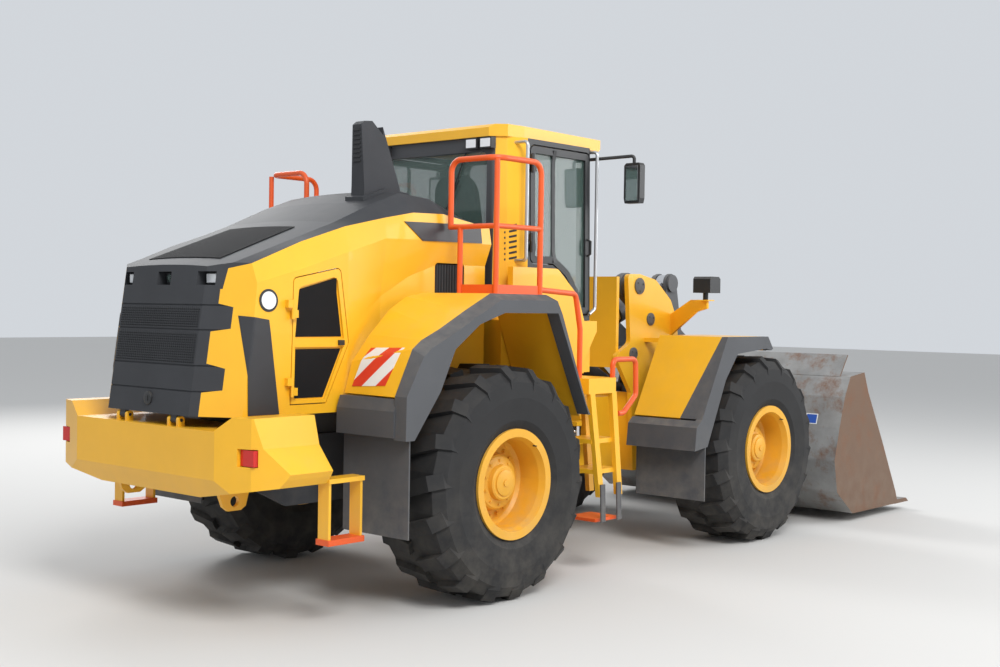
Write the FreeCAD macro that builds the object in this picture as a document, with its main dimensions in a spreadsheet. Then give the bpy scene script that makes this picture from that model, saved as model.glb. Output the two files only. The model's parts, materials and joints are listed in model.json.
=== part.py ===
import FreeCAD, Part
import os
from math import cos, hypot, pi, radians, sin, sqrt, tan
from types import SimpleNamespace
from FreeCAD import Placement, Vector

os.makedirs("parts", exist_ok=True)
doc = FreeCAD.newDocument("wheel_loader")

# Driving sizes in millimetres and degrees.
# Lengths along x are counted from the articulation hinge, heights from the ground.
SIZES = [
    # wheels
    ("axle_reach", 1775), ("wheel_offset", 1140), ("tyre_radius", 840), ("tyre_width", 675),
    ("rim_radius", 393), ("bead_seat_radius", 345), ("lug_height", 38), ("lugs_per_side", 18),
    ("lug_width", 105), ("lug_slant", 16), ("hub_radius", 205), ("spindle_radius", 90),
    ("axle_tube_radius", 130), ("axle_pot_radius", 175), ("shaft_radius", 45), ("shaft_room", 25),
    # whole machine
    ("rear_reach", 3875), ("front_reach", 4660),
    # clearances
    ("pin_clearance", 0.1), ("seat_gap", 0.3), ("side_gap", 6), ("door_gap", 12), ("leaf_gap", 7),
    # articulation hinge
    ("hinge_upper", 1215), ("hinge_lower", 650), ("hinge_pin_radius", 55), ("hinge_lug", 45),
    ("hinge_nose", 115),
    # rear frame
    ("frame_half_width", 430), ("frame_plate", 40), ("frame_top", 1180), ("frame_bottom", 700),
    ("frame_tail", 3400), ("engine_length", 1300), ("engine_width", 700), ("engine_height", 800),
    # counterweight
    ("ballast_half_width", 1250), ("ballast_top", 1385), ("ballast_deck", 1290), ("ballast_bottom", 855),
    ("ballast_length", 570), ("tie_bore_radius", 35), ("tie_bore_x", 3560), ("tie_bore_z", 805),
    # hood
    ("hood_base", 1362), ("hood_skin", 35), ("hood_tail", 3833), ("hood_lean", 0.141),
    ("hood_flat", 455), ("lid_axis_x", 3812), ("lid_axis_z", 1330),
    # cab
    ("cab_half_width", 850), ("cab_floor", 1990), ("cab_top", 3410), ("cab_rear", 1200),
    ("cab_front", 15), ("base_bottom", 1560), ("cab_wall", 60), ("cab_narrowing", 25), ("glass_thickness", 8),
    ("roof_thickness", 95), ("black_frame_start", 955),
    # fenders
    ("fender_inset", 345), ("fender_reach", 310), ("fender_sheet", 30),
    ("rear_fender_top", 2185), ("front_fender_top", 1860), ("flap_thickness", 12),
    # rails and ladders
    ("rail_radius", 21), ("rail_bend", 90), ("grab_rail_radius", 14),
    # front frame and linkage pins
    ("tower_half_width", 490), ("tower_plate", 45),
    ("boom_pin_x", 1057), ("boom_pin_z", 2301), ("bucket_pin_x", 2760), ("bucket_pin_z", 400),
    ("knee_x", 2200), ("knee_z", 1570), ("lever_pin_x", 2310), ("lever_pin_z", 1660),
    ("rod_pin_x", 2180), ("rod_pin_z", 2350), ("link_pin_x", 2004), ("link_pin_z", 1178),
    ("ear_pin_x", 2830), ("ear_pin_z", 690), ("tilt_base_x", 1240), ("tilt_base_z", 1999),
    ("lift_base_x", 976), ("lift_base_z", 1684), ("lift_eye_x", 2010), ("lift_eye_z", 1190),
    ("cross_tube_x", 1850), ("cross_tube_z", 1640),
    ("arm_offset", 330), ("arm_plate", 60), ("pin_radius", 45), ("eye_half", 45), ("fork_plate", 30),
    ("lift_barrel_radius", 80), ("lift_rod_radius", 40), ("tilt_barrel_radius", 100),
    ("tilt_rod_radius", 50),
    # steering cylinders
    ("steer_rear_x", 650), ("steer_front_x", 300), ("steer_rear_y", 240), ("steer_front_y", 380),
    ("steer_height", 1000), ("steer_barrel_radius", 55), ("steer_rod_radius", 28),
    ("steer_pin_radius", 25), ("steer_eye_half", 58),
    # bucket
    ("bucket_half_width", 1500), ("bucket_floor", 85), ("bucket_plate", 30),
]

sheet = doc.addObject("Spreadsheet::Sheet", "Sizes")
for row, (alias, value) in enumerate(SIZES, start=1):
    sheet.set(f"A{row}", alias)
    sheet.set(f"B{row}", str(value))
    sheet.setAlias(f"B{row}", alias)
doc.recompute()
d = SimpleNamespace(**{alias: float(sheet.get(alias)) for alias, value in SIZES})

HINGE_X = "(Sizes.rear_reach - Sizes.front_reach) / 2"
nodes = []


def keep(thing, label):
    """Name a sub-part and carry it from the hinge's frame to the machine's centre."""
    thing.Label = label
    thing.setExpression("Placement.Base.x", HINGE_X)
    nodes.append(thing)
    return thing


def feature(label, shape):
    """A sub-part whose shape is worked out in code."""
    thing = doc.addObject("Part::Feature", label)
    where = shape.Placement.toMatrix()
    plain = shape.copy()
    plain.Placement = Placement()
    thing.Shape = plain.transformed(where, True)
    return keep(thing, label)


# Outlines: each corner is (u, v) or (u, v, corner radius)
def place_in(plane, u, v, w):
    if plane == "xz":
        return Vector(u, w, v)
    if plane == "yz":
        return Vector(w, u, v)
    return Vector(u, v, w)


NORMAL = {"xz": Vector(0, 1, 0), "yz": Vector(1, 0, 0), "xy": Vector(0, 0, 1)}


def outline(plane, corners, level=0):
    """Closed wire of lines and tangent corner arcs."""
    rounded = []
    for index, corner in enumerate(corners):
        point = Vector(corner[0], corner[1], 0)
        radius = corner[2] if len(corner) > 2 else 0
        before = corners[index - 1]
        after = corners[(index + 1) % len(corners)]
        to_before = (Vector(before[0], before[1], 0) - point).normalize()
        to_after = (Vector(after[0], after[1], 0) - point).normalize()
        if radius:
            half_angle = to_before.getAngle(to_after) / 2
            reach = radius / tan(half_angle)
            middle = (to_before + to_after).normalize()
            top = point + middle * (radius / sin(half_angle) - radius)
            rounded.append((point + to_before * reach, top, point + to_after * reach))
        else:
            rounded.append((point, None, point))
    edges = []
    for index, (start, top, end) in enumerate(rounded):
        p = [place_in(plane, q.x, q.y, level) if q is not None else None for q in (start, top, end)]
        if top is not None:
            edges.append(Part.Arc(*p).toShape())
        following = rounded[(index + 1) % len(rounded)][0]
        nxt = place_in(plane, following.x, following.y, level)
        if p[2].distanceToPoint(nxt) > 1e-6:
            edges.append(Part.makeLine(p[2], nxt))
    return Part.Wire(edges)


def slab(plane, corners, low, high):
    """Flat plate or prism between two levels along the plane's normal."""
    face = Part.Face(outline(plane, corners, low))
    return face.extrude(NORMAL[plane] * (high - low))


def block(x0, x1, y0, y1, z0, z1):
    return Part.makeBox(x1 - x0, y1 - y0, z1 - z0, Vector(x0, y0, z0))


def rod(start, end, radius):
    """Round bar from one point to another."""
    start, end = Vector(*start), Vector(*end)
    return Part.makeCylinder(radius, start.distanceToPoint(end), start, end - start)


def cross_bar(x, z, radius, y0, y1):
    """Round bar along y, such as a pin, boss or bore."""
    return rod((x, y0, z), (x, y1, z), radius)


def mirrored(shape):
    return shape.mirror(Vector(0, 0, 0), Vector(0, 1, 0))


def pair(shape):
    """The left-hand shape with its right-hand twin."""
    return Part.makeCompound([shape, mirrored(shape)])


def joined(first, *others):
    return first.fuse(list(others)).removeSplitter()


def sheet_corners(points, thickness, bend=60):
    """Corners of a bent sheet's edge: a path in x and z, thickened to its right-hand side."""
    count = len(points)
    inner = []
    for index, (x, z) in enumerate(points):
        sides = []
        if index > 0:
            sides.append((points[index - 1], (x, z)))
        if index < count - 1:
            sides.append(((x, z), points[index + 1]))
        normals = []
        for (x0, z0), (x1, z1) in sides:
            length = hypot(x1 - x0, z1 - z0)
            normals.append(Vector((z1 - z0) / length, -(x1 - x0) / length, 0))
        if len(normals) == 1:
            shift = normals[0] * thickness
        else:
            total = normals[0] + normals[1]
            shift = total * (thickness / total.dot(normals[0]))
        inner.append((x + shift.x, z + shift.y))
    rounded = [[(x, z, bend if bend and 0 < i < count - 1 else 0) for i, (x, z) in enumerate(path)]
               for path in (points, inner)]
    return rounded[0] + rounded[1][::-1]


def strip(points, thickness, low, high, bend=60):
    """Bent sheet, extruded along y."""
    return slab("xz", sheet_corners(points, thickness, bend), low, high)


def ruled(plane, sections):
    """Ruled solid through outlines; sections are (level, corners)."""
    return Part.makeLoft([outline(plane, corners, level) for level, corners in sections], True, True)


def bent_tube(points, radius, bend):
    """Tube along straight runs joined by arcs."""
    points = [Vector(*p) for p in points]
    edges = []
    start = points[0]
    for before, corner, after in zip(points, points[1:], points[2:]):
        to_before = (before - corner).normalize()
        to_after = (after - corner).normalize()
        half_angle = to_before.getAngle(to_after) / 2
        reach = bend / tan(half_angle)
        top = corner + (to_before + to_after).normalize() * (bend / sin(half_angle) - bend)
        edges.append(Part.makeLine(start, corner + to_before * reach))
        edges.append(Part.Arc(corner + to_before * reach, top, corner + to_after * reach).toShape())
        start = corner + to_after * reach
    edges.append(Part.makeLine(start, points[-1]))
    path = Part.Wire(edges)
    ring = Part.Wire(Part.makeCircle(radius, points[0], points[1] - points[0]))
    return path.makePipeShell([ring], True, False)


# Wheels: profiles in (radius, distance outwards from the wheel's middle), turned about the axle
def turned(corners):
    face = Part.Face(outline("xy", corners))
    return face.revolve(Vector(0, 0, 0), Vector(0, 1, 0), 360)


def rim_shape():
    """Dished wheel with its hub drum, bored for the axle's spindle."""
    seat = d.bead_seat_radius
    inner = seat - 24
    half = d.tyre_width / 2 - 37
    bore = d.spindle_radius + d.pin_clearance
    profile = [
        (0, 30), (bore, 30), (bore, -240), (d.hub_radius, -240), (d.hub_radius, -20),
        (inner, 30), (inner, -half - 12), (d.rim_radius, -half - 12), (d.rim_radius, -half + 8),
        (seat, -half + 8), (seat, half - 8), (d.rim_radius, half - 8), (d.rim_radius, half + 12),
        (inner + 14, half + 12), (inner - 2, half - 40), (inner - 6, 90), (inner - 30, 68),
        (d.hub_radius + 10, 60), (d.hub_radius - 8, 140), (d.hub_radius - 22, 152), (130, 165),
        (124, 200), (112, 208), (0, 208),
    ]
    return turned(profile)


def tyre_shape():
    """Tyre carcass in straight facets, with slanted tread lugs that run over both shoulders."""
    seat = d.bead_seat_radius + d.seat_gap
    crown = d.tyre_radius - d.lug_height
    side = d.tyre_width / 2
    bead = side - 37 - 8 - d.seat_gap
    facets = int(2 * d.lugs_per_side)

    def ring(radius, width):
        reach = radius / cos(pi / facets)
        points = [Vector(reach * sin(2 * pi * k / facets), width, reach * cos(2 * pi * k / facets))
                  for k in range(facets)]
        return Part.makePolygon(points + points[:1])

    # bands from the bead over the sidewall and shoulder to the crown: (radius, width)
    bands = [(d.rim_radius + 6, bead), (d.rim_radius + 60, side - 14), (crown - 190, side),
             (crown - 80, side - 14), (crown - 6, side - 75)]
    rings = [ring(radius, -width) for radius, width in bands]
    rings += [ring(radius, width) for radius, width in bands[::-1]]
    carcass = Part.makeLoft(rings, True, True)
    carcass = carcass.cut(Part.makeLoft([ring(seat, -side), ring(seat, side)], True, True))
    root = crown - 60
    flat = sqrt(d.tyre_radius ** 2 - (d.lug_width / 2) ** 2) - 1
    drift = (side - 78) * sin(radians(d.lug_slant)) + d.lug_width / 2
    flat_end = sqrt(d.tyre_radius ** 2 - drift ** 2)
    lug = slab("yz", [(14, root), (14, flat), (side - 78, flat_end), (side - 8, crown - 58),
                      (side - 8, root - 70), (side - 60, root - 70)],
               -d.lug_width / 2, d.lug_width / 2)
    pitch = 360 / d.lugs_per_side
    lugs = []
    for index in range(int(d.lugs_per_side)):
        for half in (1, -1):
            piece = lug.copy() if half == 1 else mirrored(lug)
            piece.rotate(Vector(0, 0, 0), Vector(0, 0, 1), -half * d.lug_slant)
            piece.rotate(Vector(0, 0, 0), Vector(0, 1, 0), pitch * (index + (half + 1) / 4))
            lugs.append(piece)
    return carcass.fuse(lugs)


WHEELS = {"rim": rim_shape(), "tyre": tyre_shape()}
for end, sign in (("front", "+"), ("rear", "-")):
    for side, turn in (("left", ""), ("right", "-")):
        for piece, shape in WHEELS.items():
            wheel = feature(f"{piece}_{end}_{side}", mirrored(shape) if turn else shape)
            wheel.setExpression("Placement.Base.x", f"{HINGE_X} {sign} Sizes.axle_reach")
            wheel.setExpression("Placement.Base.y", f"{turn}Sizes.wheel_offset")
            wheel.setExpression("Placement.Base.z", "Sizes.tyre_radius")


# Axles: a round pot, tubes and spindles, with a shaft to the middle of the machine
def axle(label, x, nose, shaft_end, pad_top):
    z = d.tyre_radius
    hub_face = d.wheel_offset - 240 - d.side_gap
    spindle_end = d.wheel_offset + 30 - d.side_gap
    pot = Part.makeSphere(d.axle_pot_radius, Vector(x, 0, z))
    tube = cross_bar(x, z, d.axle_tube_radius, -hub_face, hub_face)
    spindle = cross_bar(x, z, d.spindle_radius, -spindle_end, spindle_end)
    snout = Part.makeCone(150, 85, 420, Vector(x, 0, z), Vector(nose, 0, 0))
    shaft = rod((x + nose * 400, 0, z), (shaft_end, 0, z), d.shaft_radius)
    flange = rod((x + nose * 420, 0, z), (x + nose * 455, 0, z), 110)
    yoke = rod((shaft_end, 0, z), (shaft_end + nose * 30, 0, z), 85)
    pads = [block(x - 150, x + 150, y - 55, y + 55, z, pad_top) for y in (-467, 467)]
    return feature(label, joined(pot, tube, spindle, snout, shaft, flange, yoke, *pads))


axle("rear_axle", -d.axle_reach, 1, -200, d.frame_top - 160)
axle("front_axle", d.axle_reach, -1, 200, d.frame_top - 160)


# Rear frame: two side plates, cross plates, an engine bed and the hinge's forks
def rear_chassis():
    half, plate = d.frame_half_width, d.frame_plate
    over_axle = d.frame_top - 160
    axle_x = -d.axle_reach
    side = slab("xz", [
        (-d.frame_tail, 900), (-d.frame_tail, d.frame_top), (-1250, d.frame_top), (-700, 1300),
        (-450, 1300), (-450, 600), (-1200, 600), (axle_x + 325, over_axle), (axle_x - 375, over_axle),
        (axle_x - 575, d.frame_bottom), (-3000, d.frame_bottom)], half - plate, half)
    pads = block(axle_x - 180, axle_x + 180, half - plate, 530,
                 over_axle, over_axle + 60)
    parts = [side, mirrored(side), pads, mirrored(pads)]
    inside = half - plate
    parts.append(block(-3200, -1300, -inside, inside, d.frame_top - 30, d.frame_top))
    parts.append(block(-490, -450, -inside, inside, 600, 1300))
    parts.append(block(-d.frame_tail, 40 - d.frame_tail, -inside, inside, 900, d.frame_top))
    for level in (d.hinge_upper, d.hinge_lower):
        for low in (level - d.hinge_lug * 1.5 - d.side_gap, level + d.hinge_lug / 2 + d.side_gap):
            fork = slab("xy", [(-470, -330), (-470, 330), (-120, 150),
                               (d.hinge_nose, d.hinge_nose, d.hinge_nose - 1),
                               (d.hinge_nose, -d.hinge_nose, d.hinge_nose - 1), (-120, -150)],
                        low, low + d.hinge_lug)
            parts.append(fork)
    for y in (-d.steer_rear_y, d.steer_rear_y):
        for low in (d.steer_height - d.steer_eye_half - d.side_gap - 34,
                    d.steer_height + d.steer_eye_half + d.side_gap):
            parts.append(block(-710, -488, y - 60, y + 60, low, low + 34))
    for x in (-1090, -520):
        post = block(x - 40, x + 40, inside - 25, half + 25, d.frame_top, d.base_bottom - d.seat_gap)
        parts += [post, mirrored(post)]
    bare = joined(*parts)
    bore = d.hinge_pin_radius + d.pin_clearance
    holes = [rod((0, 0, level - 150), (0, 0, level + 150), bore)
             for level in (d.hinge_upper, d.hinge_lower)]
    holes += [rod((-d.steer_rear_x, y, 850), (-d.steer_rear_x, y, 1150),
                  d.steer_pin_radius + d.pin_clearance) for y in (-d.steer_rear_y, d.steer_rear_y)]
    holes.append(rod((-520, 0, d.tyre_radius), (-430, 0, d.tyre_radius), d.shaft_radius + d.shaft_room))
    slot = block(-520, -440, 150, inside, d.steer_height - 75, d.steer_height + 75)
    holes += [slot, mirrored(slot)]
    return feature("rear_chassis", bare.cut(holes))


rear_chassis()

pins = []
for level in (d.hinge_upper, d.hinge_lower):
    reach = d.hinge_lug * 1.5 + d.side_gap
    pins.append(joined(
        rod((0, 0, level - reach - 20), (0, 0, level + reach + d.seat_gap), d.hinge_pin_radius),
        rod((0, 0, level + reach + d.seat_gap), (0, 0, level + reach + 28), d.hinge_pin_radius + 30)))
for y in (-d.steer_rear_y, d.steer_rear_y):
    pins.append(rod((-d.steer_rear_x, y, d.steer_height - 105), (-d.steer_rear_x, y, d.steer_height + 105),
                    d.steer_pin_radius))
feature("hinge_pins", Part.makeCompound(pins))

# Engine: one plain block on the frame's bed
engine = doc.addObject("Part::Box", "engine_block")
engine.setExpression("Length", "Sizes.engine_length")
engine.setExpression("Width", "Sizes.engine_width")
engine.setExpression("Height", "Sizes.engine_height")
engine.setExpression("Placement.Base.y", "-Sizes.engine_width / 2")
engine.setExpression("Placement.Base.z", "Sizes.frame_top + Sizes.seat_gap")
engine.Label = "engine_block"
engine.setExpression("Placement.Base.x", HINGE_X + " - 3150")
nodes.append(engine)


# Counterweight: a casting worked out as three crossing outlines, with lamp recesses and tow eyes
LID_HINGES = (-290, 290)
LID_AXIS = (-d.lid_axis_x, d.lid_axis_z)


def counterweight():
    half, top, deck, bottom = d.ballast_half_width, d.ballast_top, d.ballast_deck, d.ballast_bottom
    back = -d.rear_reach
    front = back + d.ballast_length
    plan = [(back, -780), (back + 75, -1050), (back + 230, -half), (front, -half),
            (front, half), (back + 230, half), (back + 75, 1050), (back, 780)]
    side = [(back, bottom + 130), (back, top - 40), (back + 35, top), (front, top), (front, bottom + 75),
            (back + 200, bottom), (back + 60, bottom)]
    flank = [(770, deck), (910, top), (1060, top), (1110, 1200), (half - 5, 1045), (half - 25, 1010),
             (1190, 960), (560, bottom)]
    rear = [(-y, z) for y, z in flank[::-1]] + flank
    body = slab("xy", plan, bottom, top).common(slab("xz", side, -half, half))
    body = body.common(slab("yz", rear, back, front))
    inside = d.frame_half_width + d.seat_gap
    channel = block(-d.frame_tail - 0.5, front + 30, -inside, inside, bottom - 10, deck + 10)
    recess = block(back - 5, back + 130, 950, 1085, 1085, 1195)
    body = body.cut([channel, recess, mirrored(recess)])
    tie_plate = slab("xz", [(-3720, 950), (-3420, 950), (-3470, 770), (-3510, 745), (-3610, 745),
                            (-3650, 775)], 555, 585)
    cheeks = []
    for y in LID_HINGES:
        for low in (y - 62, y + 37):
            cheeks.append(joined(block(LID_AXIS[0] - 25, LID_AXIS[0] + 25, low, low + 25, deck - 5,
                                       LID_AXIS[1]),
                                 cross_bar(*LID_AXIS, 25, low, low + 25)))
    eyes = cross_bar(-d.tie_bore_x, d.tie_bore_z, d.tie_bore_radius, -700, 700)
    pivot = cross_bar(*LID_AXIS, 12 + d.pin_clearance, -400, 400)
    return feature("counterweight", joined(body, tie_plate, mirrored(tie_plate), *cheeks).cut([eyes, pivot]))


counterweight()
lamp = block(-d.rear_reach + 70, -d.rear_reach + 130, 955, 1080, 1090, 1190)
feature("tail_lamps", pair(lamp))


# Hood: ruled loft through half sections along x.
# Each row: x, then (half width, height) of waist, side crease, shoulder line, crest, and the crown's height
HOOD = [
    (-3880, (752, 1900), (735, 2120), (695, 2215), (600, 2250), 2272),
    (-3140, (766, 1900), (760, 2330), (712, 2504), (600, 2518), 2542),
    (-2761, (766, 1900), (766, 2450), (724, 2625), (600, 2655), 2680),
    (-2400, (702, 2150), (762, 2560), (736, 2705), (600, 2808), 2832),
    (-2126, (705, 2300), (768, 2565), (745, 2758), (600, 2905), 2930),
    (-1816, (705, 2400), (768, 2565), (748, 2766), (600, 2882), 2905),
    (-1300, (705, 2400), (768, 2565), (745, 2690), (600, 2700), 2715),
]


def hood_section(row, inset, base):
    """Cross outline: straight flanks and a slightly crowned top."""
    x, *flank, crown = row
    flank = [(flank[0][0], base)] + list(flank)
    side = [Vector(x, y - inset, z if index == 0 else z - inset) for index, (y, z) in enumerate(flank)]
    other = [Vector(p.x, -p.y, p.z) for p in side]
    down = side[::-1]
    edges = [Part.makeLine(a, b) for a, b in zip(other, other[1:])]
    edges.append(Part.Arc(other[-1], Vector(x, 0, crown - inset), side[-1]).toShape())
    edges += [Part.makeLine(a, b) for a, b in zip(down, down[1:])]
    edges.append(Part.makeLine(side[0], other[0]))
    return Part.Wire(edges)


def hood_form(inset, base, front_trim):
    rows = [list(row) for row in HOOD]
    rows[-1][0] -= front_trim
    form = Part.makeLoft([hood_section(row, inset, base) for row in rows], True, True)
    sections = []
    for level in (1200, 3000):
        back = -d.hood_tail + (level - 1385) * d.hood_lean + inset
        flat = d.hood_flat - inset * 0.3
        side = [(back, flat), (back + 390, flat + 606), (-1000, flat + 606)]
        sections.append((level, [(x, -y) for x, y in side[::-1]] + side))
    return form.common(ruled("xy", sections))


skin = d.hood_skin
hood_outer = hood_form(0, d.hood_base, 0)
hood_shell = hood_outer.cut(hood_form(skin, d.hood_base - 10, -10))
shoulder_line = [(row[0], row[3][1]) for row in HOOD[1:]]
dark_zone = slab("xz", [(-3900, 2178), (-3655, 2178), (-3625, 2312)] + shoulder_line
                 + [(-1290, 3100), (-3900, 3100)], -1200, 1200)
grille_side = [(511, d.hood_base - 20), (511, 1515), (628, 1532), (628, 1670), (520, 1700), (520, 1905),
               (631, 1925), (631, 2063), (545, 2085), (545, 2178)]
grille_outline = [(-y, z) for y, z in grille_side[::-1]] + grille_side
grille_zone = slab("yz", grille_outline, -3900, -3500)
door_hole = [(-3262, 1425), (-3240, 2262, 40), (-2830, 2345, 40), (-2748, 1830), (-2950, 1425)]
hole = slab("xz", door_hole, 640, 960)
intake_hole = slab("xz", [(-1852, 2181), (-1852, 2409, 30), (-1532, 2409, 30), (-1532, 2181, 30)], 640, 960)
door_axis = (-3262, 788)
KNUCKLES = (1480, 1990)
LAMP_WELLS = (-437, 0, 437)


def well_blocks(half, low, high, back=-3900, front=-3600):
    """Blocks at the three lamp wells in the hood's rear edge."""
    return [block(back, front, y - half, y + half, low, high) for y in LAMP_WELLS]


well_space = well_blocks(85 + d.seat_gap, 2192 - d.seat_gap, 2302 + d.seat_gap, front=-3600 + d.seat_gap)
hood_knuckles = [joined(rod((*door_axis, z + 70 + d.seat_gap), (*door_axis, z + 130), 11),
                        block(door_axis[0] - 45, door_axis[0], 755, door_axis[1] + 8, z + 75, z + 125))
                 for z in KNUCKLES]
hood_open = hood_shell.cut([dark_zone, grille_zone, hole, mirrored(hole), intake_hole, mirrored(intake_hole),
                            *well_space])
feature("hood", joined(hood_open, *hood_knuckles, *map(mirrored, hood_knuckles)))
wells = [well.common(hood_outer) for well in well_blocks(85, 2192, 2302)]
hollows = well_blocks(75, 2204, 2292, front=-3612)
well_lamps = well_blocks(55, 2212, 2284, back=-3650, front=-3605)
deck = joined(hood_shell.common(dark_zone), *wells).cut(hollows)
feature("hood_top", joined(deck, *well_lamps))

# Rear grille with seams and fine louvre slots, and the lid's hinge lugs under it
grille_skin = hood_shell.common(grille_zone).cut(dark_zone)
seam_skin = hood_outer.cut(hood_form(7, d.hood_base - 10, -10))
seams = [seam_skin.common(block(-3900, -3500, -700, 700, z - 5, z + 5)) for z in (1520, 1684, 1914, 2074)]
fields = [(1700, 1898), (1930, 2058)]
ribs = [seam_skin.common(block(-3900, -3500, -440, 440, low + 16 * count, low + 16 * count + 7))
        for low, high in fields for count in range(int((high - low) / 16))]
lugs = []
for y in LID_HINGES:
    lugs.append(joined(block(LID_AXIS[0] - 18, LID_AXIS[0] + 12, y - 30, y + 30, LID_AXIS[1], d.hood_base + 25),
                       cross_bar(*LID_AXIS, 22, y - 30, y + 30), cross_bar(*LID_AXIS, 12, y - 60, y + 60)))
feature("rear_grille", joined(grille_skin.cut(seams + ribs), *lugs))


def leaf(corners):
    """Panel of the hood's skin, smaller than its opening by the gap all round."""
    wire = outline("xz", corners)
    inner = wire.makeOffset2D(-d.leaf_gap)
    if Part.Face(inner).Area > Part.Face(wire).Area:
        inner = wire.makeOffset2D(d.leaf_gap)
    inner.translate(Vector(0, 640, 0))
    return hood_shell.common(Part.Face(inner).extrude(Vector(0, 320, 0)))


door_leaf = leaf(door_hole)
mesh_panels = [slab("xz", [(-3225, 1860), (-3190, 2200, 40), (-2860, 2282, 40), (-2795, 1860)], 735, 960),
               slab("xz", [(-3228, 1455), (-3222, 1805), (-2800, 1805), (-2965, 1455)], 735, 960)]
knuckles = [joined(rod((*door_axis, z), (*door_axis, z + 70), 11),
                   block(door_axis[0], door_axis[0] + 40, 770, door_axis[1] + 8, z + 10, z + 60),
                   block(door_axis[0] + 27, door_axis[0] + 40, 745, 775, z + 10, z + 60))
            for z in KNUCKLES]
panel_floor = [hood_form(16, d.hood_base - 10, -10).common(panel) for panel in mesh_panels]
door_leaf = joined(door_leaf.cut([panel.cut(floor) for panel, floor in zip(mesh_panels, panel_floor)]),
                   *knuckles)
feature("service_door_left", door_leaf)
feature("service_door_right", mirrored(door_leaf))

# Exhaust stack: a tapered oblong duct with a slanted mouth and a foot on the hood
stack = ruled("xy", [
    (2840, [(-2310, -430), (-2310, -285), (-1916, -285), (-1916, -430)]),
    (2960, [(-2310, -425), (-2310, -290), (-1950, -290), (-1950, -425)]),
    (3440, [(-2325, -402), (-2325, -310), (-2125, -310), (-2125, -402)])])
mouth = slab("xz", [(-2340, 3385), (-2290, 3425), (-2215, 3432), (-2110, 3340), (-2110, 3500),
                    (-2340, 3500)], -500, -200)
foot = block(-2345, -1885, -455, -262, 2840, 2945)
foot = foot.common(hood_form(-28, d.hood_base, 0))
feature("exhaust_stack", joined(stack.cut(mouth), foot).cut(hood_outer))


# Fenders: a ruled sheet between two bent paths, with a deep dark lip, a bottom band and a flap
fender_inner = d.wheel_offset - d.fender_inset
fender_outer = d.wheel_offset + d.fender_reach


def from_axle(axle_x, rows):
    return [(axle_x + row[0], *row[1:]) for row in rows]


REAR_X, REAR_TOP = -d.axle_reach, d.rear_fender_top
rear_inner = from_axle(REAR_X, [(-1035, 1493), (-972, 1703), (-808, 1887), (-620, 2062), (-456, 2155),
                                (-285, REAR_TOP), (445, REAR_TOP), (535, 2090), (841, 1368), (892, 1290)])
rear_outer = from_axle(REAR_X, [(-1077, 1493), (-937, 1805), (-854, 1864), (-685, 1936), (-442, 2059),
                                (-175, REAR_TOP), (445, REAR_TOP), (535, 2090), (841, 1368), (892, 1290)])
rear_arch = from_axle(REAR_X, [(840, 1290), (457, 2050), (-137, 2050), (-393, 1971), (-637, 1803),
                               (-775, 1525), (-1015, 1214)])
lip_start = fender_outer - 110
rear_skin = Part.makeLoft([outline("xz", sheet_corners(path, d.fender_sheet, 0), y) for path, y in
                           ((rear_inner, fender_inner), (rear_outer, lip_start - d.seat_gap))], True, True)
feature("rear_fenders", pair(rear_skin))
lip_top = from_axle(REAR_X, [(-1095, 1214), (-1091, 1500)]) + rear_outer[1:]
lowered = [(x, z - (45 if 1500 < z else 0)) for x, z in lip_top]
lowered = [(x - (30 if x > REAR_X + 500 else 0), z) for x, z in lowered]
rear_lip = ruled("xz", [(lip_start, lip_top + rear_arch), (fender_outer, lowered + rear_arch)])
band = slab("xz", from_axle(REAR_X, [(-1105, 1228), (-1103, 1400), (-1075, 1480.5), (-1000, 1480.5),
                                     (-1015, 1228)]), fender_inner, lip_start + 5)
flap = block(REAR_X - 1035, REAR_X - 1035 + d.flap_thickness, fender_inner, fender_outer - 30, 565, 1300)
feature("rear_fender_trim", pair(joined(rear_lip, band, flap)))

FRONT_X, FRONT_TOP = d.axle_reach, d.front_fender_top
front_in = d.wheel_offset - 395
front_path = from_axle(FRONT_X, [(-1120, 1165), (-745, FRONT_TOP), (-55, FRONT_TOP), (35, 1750)])
front_lip = from_axle(FRONT_X, [(-1235, 905), (-1212, 1100), (-1132, 1165), (-745, FRONT_TOP),
                                (-55, FRONT_TOP), (35, 1750), (5, 1735), (-85, 1752), (-575, 1712),
                                (-765, 1490), (-1040, 930)])
front_end = d.wheel_offset + 252
front_sheet = strip(front_path, d.fender_sheet, front_in, front_end - d.seat_gap, 0)
wedge = slab("yz", [(front_end - 176, 1150), (front_end, FRONT_TOP + 5), (front_end + 200, FRONT_TOP + 5),
                    (front_end + 200, 1150)], FRONT_X - 1300, FRONT_X + 200)
feature("front_fenders", pair(front_sheet.cut(wedge)))
band = slab("xz", from_axle(FRONT_X, [(-1235, 905), (-1212, 1100), (-1150, 1150.5), (-1075, 1150.5),
                                      (-1010, 1100), (-1040, 930)]), front_in, front_end)
flap = block(FRONT_X - 1080, FRONT_X - 1080 + d.flap_thickness, front_in, fender_outer, 470, 930)
edge = front_sheet.common(wedge).translated(Vector(0, d.seat_gap, 0))
feature("front_fender_trim", pair(joined(slab("xz", front_lip, front_end, fender_outer), band, flap, edge)))


# Cab: a ruled loft for the outer form, hollowed, with window and door openings
CAB_PLAN = [(-d.cab_rear, -690, 30), (-d.cab_rear + 80, -780, 30), (-960, -d.cab_half_width, 30),
            (-150, -d.cab_half_width, 60), (-d.cab_front, -700, 60),
            (-d.cab_front, 700, 60), (-150, d.cab_half_width, 60), (-960, d.cab_half_width, 30),
            (-d.cab_rear + 80, 780, 30), (-d.cab_rear, 690, 30)]


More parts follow.
